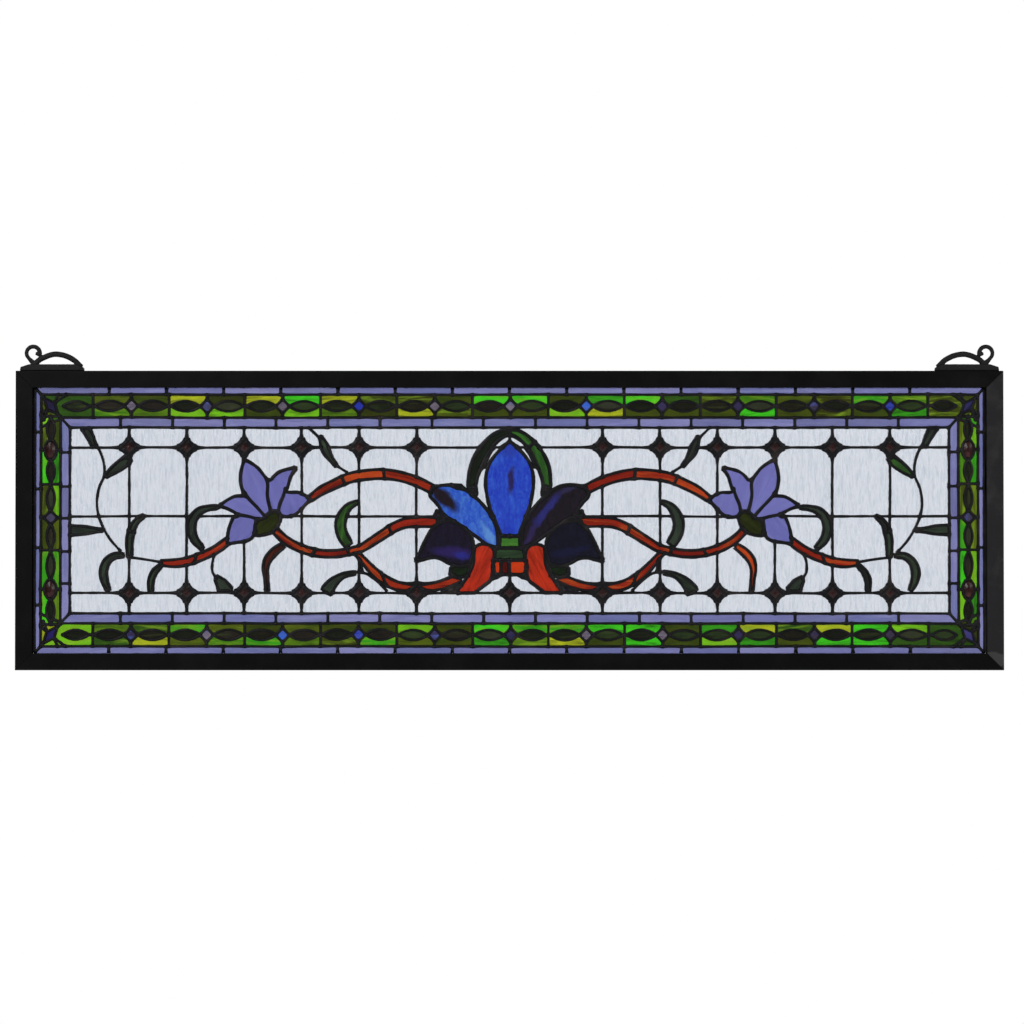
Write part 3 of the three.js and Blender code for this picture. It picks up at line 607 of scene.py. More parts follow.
def lay_corner(side_x, side_z, middle_x, middle_z):
    """The long piece on a corner's mitre and the small ones beside it."""
    mitre = math.atan2(OUTER[1] - INNER[1], OUTER[0] - INNER[0])
    along, across = KITE
    kite = turned(lozenge(0, 0, along, across), middle_x, middle_z, mitre)
    beside = [
        [[middle_x - 3.0, middle_z + 3.2], [middle_x - 6.5, OUTER[1]]],
        [[middle_x - 3.4, middle_z + 2.6], [middle_x - 13, OUTER[1]]],
        [[middle_x + 3.4, middle_z - 3.2], [OUTER[0], middle_z - 6.5]],
        [[middle_x + 3.0, middle_z - 3.4], [OUTER[0] - 2, INNER[1] - 2]],
        [[INNER[0], INNER[1] - 1], [OUTER[0], INNER[1] - 8]],
    ]
    node = f"ribbon_{'top' if side_z > 0 else 'bottom'}"
    shapes.append(Shape(node, "kite", turned_left([[side_x * x, side_z * z] for x, z in kite])))
    for line in beside:
        cuts.append(Cut({"green"}, [[side_x * x, side_z * z] for x, z in line]))


# ---------------------------------------------------------------- cutting the panel into pieces

Cell = namedtuple("Cell", "shape triangles")


def seated(x):
    """Where the panel's seat in the frame puts a length along it."""
    return x * SEAT_STRETCH


def solder_half(one, other):
    """Half the width of the seam between two shapes: the broader of what they ask for."""
    return max(BROAD_HALF.get(shape.node.split("_")[0], SEAM_HALF) for shape in (one, other))


def wandered(point):
    """Where the glazier's hand really put a point of the pattern."""
    x, z = point
    edge = max(0.0, min(1.0, (PANEL[0] - abs(x)) / 8, (PANEL[1] - abs(z)) / 8))
    drift = noise.noise_vector(Vector((x / 46, z / 46, 3.7)))
    return (x + WOBBLE * drift.x * edge, z + WOBBLE * drift.z * edge)


def divide():
    """The points of the divided panel, its cells and the edges between them."""
    points, edges, faces, cut_of_edge = [], [], [], []
    for shape in shapes:
        start = len(points)
        points += [Vector(point) for point in shape.outline]
        faces.append(list(range(start, len(points))))
    for number, cut in enumerate(cuts):
        start = len(points)
        points += [Vector(point) for point in cut.line]
        for i in range(start, len(points) - 1):
            edges.append((i, i + 1))
            cut_of_edge.append(number)
    found, out_edges, triangles, _, edge_from, face_from = delaunay_2d_cdt(points, edges, faces, 1, WELD)
    owner = [min(source) if source else None for source in face_from]
    cut_at = {}
    for edge, sources in zip(out_edges, edge_from):
        families = set()
        for source in sources:
            if source < len(edges):
                families |= cuts[cut_of_edge[source]].families
        if families:
            cut_at[frozenset(edge)] = families
    beside = defaultdict(list)
    for t, triangle in enumerate(triangles):
        if owner[t] is not None:
            for a, b in zip(triangle, triangle[1:] + triangle[:1]):
                beside[frozenset((a, b))].append(t)
    parent = list(range(len(triangles)))

    def root(t):
        while parent[t] != t:
            parent[t] = parent[parent[t]]
            t = parent[t]
        return t

    def same_piece(edge, s, t):
        one, other = shapes[owner[s]], shapes[owner[t]]
        joined = owner[s] == owner[t]
        return joined and one.family not in cut_at.get(edge, ()) and one.family == other.family

    for edge, pair in beside.items():
        if len(pair) == 2 and same_piece(edge, *pair):
            parent[root(pair[0])] = root(pair[1])
    groups = defaultdict(list)
    for t in range(len(triangles)):
        if owner[t] is not None:
            groups[root(t)].append(t)
    cells = [Cell(shapes[owner[group[0]]], [triangles[t] for t in group]) for group in groups.values()]
    seams = {}
    for edge, pair in beside.items():
        if len(pair) == 2 and (root(pair[0]) != root(pair[1]) or not same_piece(edge, *pair)):
            seams[edge] = solder_half(*[shapes[owner[t]] for t in pair])
    return [wandered((seated(x), z)) for x, z in found], cells, seams


# ---------------------------------------------------------------- mesh building

class Builder:
    """Gathers closed bodies for one mesh object."""

    def __init__(self):
        self.points, self.faces, self.colours, self.wisps, self.grain = [], [], [], [], []

    def add(self, points, faces):
        start = len(self.points)
        self.points += points
        self.faces += [[start + i for i in face] for face in faces]

    def paint(self, colour, wisp, grain):
        """The glass colour, wisp colour and grain place of the points added last."""
        self.colours += [colour] * len(grain)
        self.wisps += [wisp] * len(grain)
        self.grain += grain

    def object(self, name, materials, smooth_faces):
        mesh = bpy.data.meshes.new(name)
        mesh.from_pydata([(x * MM, y * MM, MIDDLE_Z + z * MM) for x, y, z in self.points], [], self.faces)
        mesh.validate()
        for material in materials:
            mesh.materials.append(material)
        mesh.polygons.foreach_set("use_smooth", [smooth_faces] * len(mesh.polygons))
        if self.colours:
            for label, values in (("glass", self.colours), ("wisp", self.wisps)):
                layer = mesh.attributes.new(label, "FLOAT_COLOR", "POINT")
                layer.data.foreach_set("color", [channel for value in values for channel in value])
            layer = mesh.attributes.new("grain", "FLOAT_VECTOR", "POINT")
            layer.data.foreach_set("vector", [part for value in self.grain for part in value])
        found = bpy.data.objects.new(name, mesh)
        bpy.context.scene.collection.objects.link(found)
        return found


def cell_area(points, triangles):
    return sum(abs(area([points[i] for i in triangle])) for triangle in triangles)


def rim_of(triangles):
    """The directed edges round a cell, with the glass on their left."""
    count = defaultdict(int)
    for triangle in triangles:
        for a, b in zip(triangle, triangle[1:] + triangle[:1]):
            count[(a, b)] += 1
    return [(a, b) for a, b in count if (b, a) not in count]


def anticlockwise(points, triangles):
    return [list(t) if area([points[i] for i in t]) > 0 else list(t)[::-1] for t in triangles]


def inset(points, rim, distance):
    """How far each corner of a rim moves so that the edges move inwards by a distance."""
    inward = defaultdict(lambda: Vector((0, 0)))
    for a, b in rim:
        along = (Vector(points[b]) - Vector(points[a])).normalized()
        for corner in (a, b):
            inward[corner] += Vector((-along.y, along.x))
    moved = {}
    for corner, way in inward.items():
        length = max(way.length, 0.7)
        moved[corner] = way / length * distance * min(2 / length, 1.8)
    return moved


def grain_of(points, corners, angle, random_source):
    """The place of each corner in the sheet that the piece was cut from, grain along X."""
    shift = (random_source.uniform(0, 500), random_source.uniform(0, 500))
    cos, sin = math.cos(angle), math.sin(angle)
    return [(points[i][0] * cos + points[i][1] * sin + shift[0], 0.0,
             -points[i][0] * sin + points[i][1] * cos + shift[1]) for i in corners]


def long_way(points, corners):
    """The angle of the longest way through some points."""
    x = [points[i][0] for i in corners]
    z = [points[i][1] for i in corners]
    mx, mz = sum(x) / len(x), sum(z) / len(z)
    xx = sum((a - mx) ** 2 for a in x)
    zz = sum((b - mz) ** 2 for b in z)
    xz = sum((a - mx) * (b - mz) for a, b in zip(x, z))
    return 0.5 * math.atan2(2 * xz, xx - zz)


def add_pane(builder, points, cell, colour, wisp, random_source, half=GLASS_FACE):
    """One flat piece of glass, a little smaller than its cell."""
    triangles = anticlockwise(points, cell.triangles)
    rim = rim_of(triangles)
    moved = inset(points, rim, TILE_INSET)
    corners = sorted({i for t in triangles for i in t})
    place = {corner: k for k, corner in enumerate(corners)}
    count = len(corners)
    flat = []
    for i in corners:
        shift = moved.get(i, Vector((0, 0)))
        flat.append((points[i][0] + shift.x, points[i][1] + shift.y))
    solid = [(x, -half, z) for x, z in flat] + [(x, half, z) for x, z in flat]
    faces = [[place[i] for i in t] for t in triangles]
    faces += [[place[i] + count for i in t][::-1] for t in triangles]
    faces += [[place[a], place[a] + count, place[b] + count, place[b]] for a, b in rim]
    builder.add(solid, faces)
    angle = math.pi / 2 if cell.shape.family == "clear" else long_way(points, corners)
    builder.paint(colour, wisp, grain_of(points, corners, angle, random_source) * 2)


def add_jewel(builder, points, cell, colour, wisp, random_source):
    """A pressed jewel: a raised table with sloping facets, on both faces of the panel."""
    corners = sorted({i for edge in rim_of(anticlockwise(points, cell.triangles)) for i in edge})
    middle = Vector((sum(points[i][0] for i in corners), sum(points[i][1] for i in corners)))
    middle /= len(corners)
    ring = sorted(corners, key=lambda i: math.atan2(points[i][1] - middle.y, points[i][0] - middle.x))
    levels = [(-3.9, 0.0), (-3.7, 0.3), (-2.2, 0.78), (-1.2, 0.86), (1.2, 0.86), (2.2, 0.78),
              (3.7, 0.3), (3.9, 0.0)]
    bulge = min(1.0, max(math.dist(points[i], middle) for i in corners) / 6)
    levels = [(math.copysign(min(abs(y), GLASS_FACE) + max(abs(y) - GLASS_FACE, 0) * bulge, y), share)
              for y, share in levels]
    solid, faces = [(middle.x, levels[0][0], middle.y)], []
    count = len(ring)
    for y, share in levels[1:-1]:
        for i in ring:
            solid.append((middle.x + (points[i][0] - middle.x) * share, y,
                          middle.y + (points[i][1] - middle.y) * share))
    solid.append((middle.x, levels[-1][0], middle.y))
    for k in range(count):
        following = (k + 1) % count
        faces.append([0, 1 + k, 1 + following])
        for level in range(len(levels) - 3):
            near, far = 1 + level * count, 1 + (level + 1) * count
            faces.append([near + k, far + k, far + following, near + following])
        last = 1 + (len(levels) - 3) * count
        faces.append([last + k, len(solid) - 1, last + following])
    builder.add(solid, faces)
    builder.paint(colour, wisp, [(x, y, z) for x, y, z in solid])


# ---------------------------------------------------------------- solder

def chains(seams, points):
    """The seams as lines between junctions and sharp corners."""
    near = defaultdict(list)
    for a, b in map(tuple, seams):
        near[a].append(b)
        near[b].append(a)

    def ends(i):
        if len(near[i]) != 2:
            return True
        a, b = (Vector(points[j]) - Vector(points[i]) for j in near[i])
        return a.length > 0.2 and b.length > 0.2 and a.angle(b) < math.radians(125)

    used, lines = set(), []

    def walk(start, following):
        line = [start, following]
        used.add(frozenset(line))
        while not ends(line[-1]) and line[-1] != start:
            step = [j for j in near[line[-1]] if frozenset((line[-1], j)) not in used]
            if not step:
                break
            used.add(frozenset((line[-1], step[0])))
            line.append(step[0])
        lines.append(line)

    for i in sorted(near):
        if ends(i):
            for j in near[i]:
                if frozenset((i, j)) not in used:
                    walk(i, j)
    for a, b in map(tuple, seams):
        if frozenset((a, b)) not in used:
            walk(a, b)
    return lines, [i for i in sorted(near) if ends(i)]


def in_sight(point):
    """A point of a seam kept out of the channel."""
    return [max(-SIGHT_X, min(SIGHT_X, point[0])), max(-SIGHT_Z, min(SIGHT_Z, point[1]))]


def thinned(line, least=1.2):
    kept = [line[0]]
    for point in line[1:-1]:
        if math.dist(point, kept[-1]) >= least and math.dist(point, line[-1]) >= least:
            kept.append(point)
    kept.append(line[-1])
    return kept


def half_width(x, z, base):
    """Half the width of the solder at a place: it wanders, and swells towards a jewel of the lattice."""
    wander = 1 + 0.22 * noise.noise(Vector((x / 9, z / 9, 11.0))) + 0.1 * noise.noise(Vector((x, z, 5.0)))
    swell = 0.0
    for jewel_x, jewel_z in ALL_JEWELS:
        if abs(x - jewel_x) < 14 and abs(z - jewel_z) < 14:
            away = math.hypot(x - jewel_x, z - jewel_z)
            swell = max(swell, 1.5 * math.exp(-max(0.0, away - 6.5) / 3.2))
    return base * wander + swell


def add_bead(builder, line, side, base):
    """A rounded run of solder on one face of the panel."""
    line = spaced(thinned(line), BEAD_STEP)
    if len(line) < 2 or math.dist(line[0], line[-1]) < 0.05 and len(line) < 4:
        return
    length = [0.0]
    for a, b in zip(line, line[1:]):
        length.append(length[-1] + math.dist(a, b))
    segments = 5
    solid, faces = [], []
    for (x, z), (nx, nz), along in zip(line, normals(line), length):
        flare = 0.45 * (math.exp(-along / 1.3) + math.exp(-(length[-1] - along) / 1.3))
        half = half_width(x, z, base) * (1 + flare)
        rise = SEAM_RISE * (1 + 0.12 * noise.noise(Vector((x / 5, z / 5, 21.0))))
        for k in range(segments + 1):
            angle = math.pi * k / segments
            across = half * math.cos(angle)
            up = GLASS_FACE - 0.15 + (rise + 0.15) * math.sin(angle)
            solid.append((x + nx * across, side * up, z + nz * across))
    ring = segments + 1
    for i in range(len(line) - 1):
        for k in range(ring):
            following = (k + 1) % ring
            a, b = i * ring + k, i * ring + following
            faces.append([a, b, b + ring, a + ring] if side < 0 else [a, a + ring, b + ring, b])
    first, last = list(range(ring)), [(len(line) - 1) * ring + k for k in range(ring)]
    faces += [first[::-1], last] if side < 0 else [first, last[::-1]]
    builder.add(solid, faces)


def add_dome(builder, x, z, side, radius):
    """A low dome of solder where seams meet."""
    around = 9
    rings = [(1.0, -0.15), (0.8, 0.55 * SEAM_RISE), (0.45, 0.95 * SEAM_RISE)]
    solid, faces = [], []
    for share, up in rings:
        for k in range(around):
            angle = 2 * math.pi * k / around
            solid.append((x + radius * share * math.cos(angle), side * (GLASS_FACE + up),
                          z + radius * share * math.sin(angle)))
    solid.append((x, side * (GLASS_FACE + 1.08 * SEAM_RISE), z))
    for level in range(len(rings) - 1):
        for k in range(around):
            following = (k + 1) % around
            a, b = level * around + k, level * around + following
            quad = [a, b, b + around, a + around]
            faces.append(quad if side < 0 else quad[::-1])
    top = (len(rings) - 1) * around
    for k in range(around):
        face = [top + k, top + (k + 1) % around, len(solid) - 1]
        faces.append(face if side < 0 else face[::-1])
    base = list(range(around))
    faces.append(base[::-1] if side < 0 else base)
    builder.add(solid, faces)


def add_fill(builder, points, cell):
    """A space too small for glass, filled with solder through the panel."""
    triangles = anticlockwise(points, cell.triangles)
    corners = sorted({i for t in triangles for i in t})
    place = {corner: k for k, corner in enumerate(corners)}
    count, half = len(corners), GLASS_FACE + 0.75 * SEAM_RISE
    flat = [in_sight(points[i]) for i in corners]
    solid = [(x, -half, z) for x, z in flat] + [(x, half, z) for x, z in flat]
    faces = [[place[i] for i in t] for t in triangles]
    faces += [[place[i] + count for i in t][::-1] for t in triangles]
    faces += [[place[a], place[a] + count, place[b] + count, place[b]] for a, b in rim_of(triangles)]
    builder.add(solid, faces)


def in_border(line):
    x, z = line[len(line) // 2]
    return abs(x) / SEAT_STRETCH > FIELD[0] - 0.9 or abs(z) > FIELD[1] - 0.9


def all_solder(points, cell):
    """Whether a space is filled with solder instead of glass."""
    least = SOLID_GAP if cell.shape.family == "clear" else SOLID_CELL
    return cell.shape.family == "solder" or cell_area(points, cell.triangles) < least


def make_solder(points, cells, seams, material):
    builders = defaultdict(Builder)
    lines, junctions = chains(seams, points)
    broadest = defaultdict(float)
    for chain in lines:
        base = seams[frozenset(chain[:2])]
        for end in (chain[0], chain[-1]):
            broadest[end] = max(broadest[end], base)
        line = [in_sight(points[i]) for i in chain]
        where = "border" if in_border(line) else "field"
        for face, side in (("front", -1), ("back", 1)):
            add_bead(builders[f"solder_{where}_{face}"], line, side, base)
    for i in junctions:
        x, z = points[i]
        if abs(x) < SIGHT_X - 0.5 and abs(z) < SIGHT_Z - 0.5:
            where = "border" if in_border([(x, z)]) else "field"
            for face, side in (("front", -1), ("back", 1)):
                add_dome(builders[f"solder_{where}_{face}"], x, z, side,
                         1.3 * half_width(x, z, broadest[i] or SEAM_HALF))
    for cell in cells:
        if all_solder(points, cell) and min(abs(points[i][1]) for t in cell.triangles for i in t) < SIGHT_Z:
            add_fill(builders["solder_field_front"], points, cell)
    for name, builder in builders.items():
        piece = builder.object(name, [material], True)
        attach(piece, "root")
        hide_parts("solder_seams")


# ---------------------------------------------------------------- glass

SLOTS = {
    "lavender": "lavender_glass", "petal_lavender": "lavender_glass", "orange": "orange_glass",
    "leaf": "leaf_glass", "arch": "leaf_glass", "calyx": "leaf_glass", "collar": "olive_glass",
    "green": "green_glass", "petal_centre": "blue_glass", "petal_upper": "blue_glass",
    "petal_lower": "plum_glass", "ruby": "plum_glass", "clear": "clear_glass",
}
RIBBON_FAMILIES = ("green", "lens", "diamond", "kite")


def glass_colours(cell, points, random_source):
    """The colour and the wisp colour of a piece of glass."""
    family = cell.shape.family
    x, z = middle_of(points, cell)
    if cell.shape.node in PIECE_COLOURS:
        return [linear(*colour) for colour in PIECE_COLOURS[cell.shape.node]]
    if family == "arch" and x > seated(0):
        return linear(44, 84, 34), linear(62, 122, 42)
    if family == "collar":
        if z > -23.5:
            return linear(60, 118, 40), linear(92, 150, 60)
        if z > -33.8:
            return linear(40, 58, 40), linear(58, 92, 52)
        if seated(-7.5) < x < seated(-0.5):
            return linear(84, 16, 12), linear(50, 14, 12)
        return linear(206, 62, 18), linear(170, 36, 16)
    if family not in PALETTES:
        return linear(40, 70, 190), linear(60, 100, 205)      # not seen: these have materials of their own
    colours, wisps = PALETTES[family]
    return linear(*random_source.choice(colours)), linear(*random_source.choice(wisps))


def middle_of(points, cell):
    corners = [points[i] for t in cell.triangles for i in t]
    return sum(x for x, _ in corners) / len(corners), sum(z for _, z in corners) / len(corners)


def make_glass(points, cells, materials):
    builders = defaultdict(Builder)
    families = {}
    random_source = random.Random(7)
    order = sorted(cells, key=lambda cell: (cell.shape.node, *[round(v, 1) for v in middle_of(points, cell)]))
    for cell in order:
        if all_solder(points, cell):
            continue
        colour, wisp = glass_colours(cell, points, random_source)
        name = cell.shape.node
        if cell.shape.family == "ruby" and not name.startswith("jewel"):
            name = name.replace("ribbon", "rosette")
        families[name] = cell.shape.family if cell.shape.family not in RIBBON_FAMILIES else "green"
        if cell.shape.family == "ruby":
            add_jewel(builders[name], points, cell, colour, wisp, random_source)
        else:
            add_pane(builders[name], points, cell, colour, wisp, random_source)
    nodes = set(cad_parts)
    for name, builder in builders.items():
        family = families[name]
        material = materials.get(name) or materials[family]
        piece = builder.object(f"glass_{name}", [material], False)
        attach(piece, "root")
        SLOTS[family]
        if name == "clear_field":
            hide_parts(*sorted(node for node in nodes if node.startswith("clear_")))
        elif name in nodes:
            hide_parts(name)


# ---------------------------------------------------------------- frame and hangers

def channel_section():
    """The channel's section: u inwards from the outer edge, v from front to back, rounded outside."""
    floor, slot = FACE - SLOT["depth"], SLOT["width"] / 2
    outer, inner = 1.1, 0.55

    def corner(u, v, radius, start):
        return [(u + radius * math.cos(math.radians(start + 22.5 * k)),
                 v + radius * math.sin(math.radians(start + 22.5 * k))) for k in range(5)]

    near, far = -HALF_DEPTH, HALF_DEPTH
    return [
        *corner(outer, near + outer, outer, 180), *corner(FACE - inner, near + inner, inner, 270),
        (FACE, -slot), (floor, -slot), (floor, slot), (FACE, slot),
        *corner(FACE - inner, far - inner, inner, 0), *corner(outer, far - outer, outer, 90),
    ]


def make_frame_bar(name, length, reach, turn, material):
    """A bar of the frame with mitred ends, made as the top bar and then turned."""
    section = channel_section()
    gap = 0.15
    builder = Builder()
    solid = []
    stops = [-1.0, -0.97, -0.6, -0.2, 0.2, 0.6, 0.97, 1.0]
    for stop in stops:
        for u, v in section:
            x, z = stop * (length - u - gap), reach - u
            solid.append((x * math.cos(turn) - z * math.sin(turn), v,
                          x * math.sin(turn) + z * math.cos(turn)))
    count = len(section)
    faces = []
    for i in range(len(stops) - 1):
        for k in range(count):
            following = (k + 1) % count
            faces.append([i * count + k, i * count + following, (i + 1) * count + following,
                          (i + 1) * count + k])
    faces += [list(range(count))[::-1], [(len(stops) - 1) * count + k for k in range(count)]]
    builder.add(solid, faces)
    piece = builder.object(f"bar_{name}", [material], False)
    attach(piece, "root")
    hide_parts(name)


def hook_stations():
    (cx, cz), radius = HANGER["hook_centre"], HANGER["hook_radius"]
    start, end = HANGER["hook_turn"]
    count = HANGER["hook_steps"]
    around = []
    for i in range(count + 1):
        angle = math.radians(start + (end - start) * i / count)
        around.append([cx + radius * math.cos(angle), cz + radius * math.sin(angle),
                       HANGER["hook_stroke"] + 0.6 * i / count])
    return [HANGER["hook_root"]] + around + [HANGER["hook_tip"]]


def add_rod(builder, stations, depth):
    """A bar of rounded section along a smooth line."""
    line = smooth(stations, 4)
    around = 14
    solid, faces = [], []
    for (x, z, width), (nx, nz) in zip(line, normals(line)):
        for k in range(around):
            angle = 2 * math.pi * k / around
            cos, sin = math.cos(angle), math.sin(angle)
            across = width / 2 * math.copysign(abs(cos) ** 0.75, cos)
            solid.append((x + nx * across, depth / 2 * math.copysign(abs(sin) ** 0.75, sin),
                          z + nz * across))
    for i in range(len(line) - 1):
        for k in range(around):
            following = (k + 1) % around
            faces.append([i * around + k, i * around + following, (i + 1) * around + following,
                          (i + 1) * around + k])
    faces += [list(range(around))[::-1], [(len(line) - 1) * around + k for k in range(around)]]
    builder.add(solid, faces)


def make_hanger(name, side, material):
    """A cast hanger: the foot plate, the arch and the hook, fused and given a sandy skin."""
    builder = Builder()
    half = HANGER["plate_depth"] / 2
    plate = turned_left(HANGER["plate"])
    count = len(plate)
    builder.add([(x, -half, z) for x, z in plate] + [(x, half, z) for x, z in plate],
                [list(range(count)), [k + count for k in range(count)][::-1]]
                + [[k, k + count, (k + 1) % count + count, (k + 1) % count] for k in range(count)])
    add_rod(builder, HANGER["arch"], HANGER["depth"])
    add_rod(builder, hook_stations(), HANGER["depth"] * 0.9)
    if side < 0:
        builder.points = [(-x, y, z) for x, y, z in builder.points]
        builder.faces = [face[::-1] for face in builder.faces]
    piece = builder.object(f"cast_{name}", [material], True)
    remesh = piece.modifiers.new("fuse", "REMESH")
    remesh.mode = "VOXEL"
    remesh.voxel_size = 0.42 * MM
    remesh.use_smooth_shade = True
    soften = piece.modifiers.new("soften", "SMOOTH")
    soften.iterations = 3
    apply_modifiers(piece)
    low = MIDDLE_Z + (HALF_HEIGHT + 0.05) * MM
    for vertex in piece.data.vertices:
        grain = noise.noise(vertex.co / MM * 0.9) * 0.09 + noise.noise(vertex.co / MM * 0.3) * 0.08
        vertex.co += vertex.normal * grain * MM
        vertex.co.z = max(vertex.co.z, low)
    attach(piece, "root")
    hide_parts(name)


def apply_modifiers(piece):
    """The piece's mesh as its modifiers leave it, with none left on it."""
    graph = bpy.context.evaluated_depsgraph_get()
    mesh = bpy.data.meshes.new_from_object(piece.evaluated_get(graph))
    piece.modifiers.clear()
    piece.data = mesh


# ---------------------------------------------------------------- materials

class Finish:
    """A material's node tree, with one Principled shader."""

    def __init__(self, name):
        self.material = bpy.data.materials.new(name)
        self.material.use_nodes = True
        self.nodes = self.material.node_tree.nodes
        self.links = self.material.node_tree.links
        self.shader = self.nodes["Principled BSDF"]

    def node(self, kind, inputs, **settings):
        found = self.nodes.new(kind)
        for key, value in settings.items():
            setattr(found, key, value)
        for key, value in inputs.items():
            if isinstance(value, bpy.types.NodeSocket):
                self.links.new(value, found.inputs[key])
            else:
                found.inputs[key].default_value = value
        return found

    def set(self, **values):
        for key, value in values.items():
            socket = self.shader.inputs[key.replace("_", " ")]
            if isinstance(value, bpy.types.NodeSocket):
                self.links.new(value, socket)
            else:
                socket.default_value = value

    def place(self, scale):
        """Place on the window in millimetres from the middle of its frame, stretched by scale."""
        source = self.node("ShaderNodeTexCoord", {}).outputs["Object"]
        moved = self.node("ShaderNodeVectorMath", {0: source, 1: (0, 0, -MIDDLE_Z)}, operation="ADD")
        stretched = self.node("ShaderNodeVectorMath", {
            0: moved.outputs[0], 1: tuple(part / MM for part in scale)}, operation="MULTIPLY")
        return stretched.outputs[0]

    def grain(self, scale):
        """Place in the sheet of glass, in millimetres along and across its grain."""
        source = self.node("ShaderNodeAttribute", {}, attribute_name="grain").outputs["Vector"]
        stretched = self.node("ShaderNodeVectorMath", {0: source, 1: scale}, operation="MULTIPLY")
        return stretched.outputs[0]

    def noise(self, place, detail=3.0, rough=0.5, distortion=0.0):
        return self.node("ShaderNodeTexNoise", {
            "Vector": place, "Scale": 1.0, "Detail": detail, "Roughness": rough,
            "Distortion": distortion}).outputs["Fac"]

    def steps(self, value, stops):
        """A colour ramp of (place, colour) stops, or of plain numbers."""
        ramp = self.node("ShaderNodeValToRGB", {0: value})
        elements = ramp.color_ramp.elements
        while len(elements) < len(stops):
            elements.new(0.5)
        for element, (place, colour) in zip(elements, stops):
            element.position = place
            element.color = colour if isinstance(colour, tuple) else (colour, colour, colour, 1)
        return ramp.outputs["Color"]

    def mix(self, factor, one, other, blend="MIX"):
        mixed = self.node("ShaderNodeMix", {0: factor, 6: one, 7: other}, data_type="RGBA",
                          blend_type=blend)
        return mixed.outputs[2]

    def attribute(self, name):
        return self.node("ShaderNodeAttribute", {}, attribute_name=name).outputs["Color"]

    def bump(self, height, strength, distance):
        return self.node("ShaderNodeBump", {
            "Height": height, "Strength": strength, "Distance": distance * MM}).outputs["Normal"]


def opal_glass(name, streak=0.5, blotch=0.3, rough=0.22, transmission=0.88):
    """Streaky rolled glass: the piece's own colour, with wisps of a second one along the grain."""
    finish = Finish(name)
    wisps = finish.noise(finish.grain((0.035, 1.0, 0.3)), 4, 0.55, 0.6)
    clouds = finish.noise(finish.grain((0.05, 1.0, 0.09)), 2, 0.5, 0.4)
    lines = finish.noise(finish.grain((0.02, 1.0, 1.3)), 2, 0.5)
    colour = finish.mix(finish.steps(wisps, [(0.46, 0.0), (0.68, streak)]), finish.attribute("glass"),
                        finish.attribute("wisp"))
    shade = finish.steps(clouds, [(0.3, 1 - blotch), (0.7, 1.0)])
    colour = finish.mix(1.0, colour, shade, "MULTIPLY")
    colour = finish.mix(1.0, colour, finish.steps(lines, [(0.3, 0.88), (0.6, 1.0)]), "MULTIPLY")
    ripple = finish.noise(finish.grain((0.16, 1.0, 0.5)), 3, 0.6)
    finish.set(Base_Color=colour, Roughness=rough, Transmission_Weight=transmission, IOR=1.5,
               Normal=finish.bump(ripple, 0.35, 0.5))
    return finish.material


def petal_glass(name, base, light, streaks, angle, scale=1.0):
    """Streaky glass with named streaks: (x, z, angle, half length, half width, colour)."""
    finish = Finish(name)
    place = finish.place((1, 1, 1))
    warp = finish.node("ShaderNodeTexNoise", {"Vector": place, "Scale": 0.09, "Detail": 3.0})
    warp = finish.node("ShaderNodeVectorMath", {0: warp.outputs["Color"], 1: (0.5, 0.5, 0.5)},
                       operation="SUBTRACT")
    warp = finish.node("ShaderNodeVectorMath", {0: warp.outputs[0], "Scale": 9.0}, operation="SCALE")
    place = finish.node("ShaderNodeVectorMath", {0: place, 1: warp.outputs[0]}, operation="ADD").outputs[0]
    turned_place = finish.node("ShaderNodeMapping", {
        "Vector": place, "Rotation": (0, math.radians(angle), 0), "Scale": (0.32 * scale, 1, 0.045 * scale)})
    wisps = finish.noise(turned_place.outputs[0], 4, 0.6, 0.4)
    colour = finish.mix(finish.steps(wisps, [(0.4, 0.0), (0.66, 1.0)]), base, light)
    for x, z, turn, half_length, half_width_, streak_colour in streaks:
        local = finish.node("ShaderNodeMapping", {
            "Vector": place, "Location": (x, 0, z), "Rotation": (0, math.radians(-turn), 0),
            "Scale": (half_length, 1e6, half_width_)}, vector_type="TEXTURE")
        away = finish.node("ShaderNodeVectorMath", {0: local.outputs[0]}, operation="LENGTH")
        mask = finish.steps(away.outputs["Value"], [(0.45, 1.0), (0.95, 0.0)])
        colour = finish.mix(mask, colour, streak_colour)
    lines = finish.noise(finish.node("ShaderNodeMapping", {
        "Vector": place, "Rotation": (0, math.radians(angle), 0), "Scale": (1.1, 1, 0.03)}).outputs[0], 2)
    colour = finish.mix(1.0, colour, finish.steps(lines, [(0.3, 0.8), (0.6, 1.0)]), "MULTIPLY")
    finish.set(Base_Color=colour, Roughness=0.2, Transmission_Weight=0.88, IOR=1.5,
               Normal=finish.bump(wisps, 0.3, 0.5))
    return finish.material


def clear_glass():
    """Clear rolled glass with fine upright ripples."""
    finish = Finish("clear_rippled_glass")
    ripple = finish.noise(finish.place((0.62, 1, 0.1)), 3, 0.55, 0.5)
    fine = finish.noise(finish.place((1.5, 1, 0.35)), 2, 0.5, 0.3)
    height = finish.node("ShaderNodeMath", {0: ripple, 1: fine}, operation="ADD").outputs[0]
    # The troughs of the ripples are painted a little darker than the body of the glass: painted shade
    # following the ripple relief.
    body = linear(214, 219, 228)
    trough_shade = linear(196, 203, 213)
    colour = finish.mix(finish.steps(ripple, [(0.38, 1.0), (0.5, 0.0)]), body, trough_shade)
    finish.set(Base_Color=colour, Roughness=0.04, Transmission_Weight=1.0, IOR=1.5,
               Normal=finish.bump(height, 0.5, 0.8))
    return finish.material


def jewel_glass():
    finish = Finish("ruby_jewel_glass")
    clouds = finish.noise(finish.place((0.5, 0.5, 0.5)), 2)
    finish.set(Base_Color=finish.steps(clouds, [(0.35, linear(38, 13, 14)), (0.65, linear(68, 22, 22))]),
               Roughness=0.3, Transmission_Weight=0.5, IOR=1.5)
    return finish.material


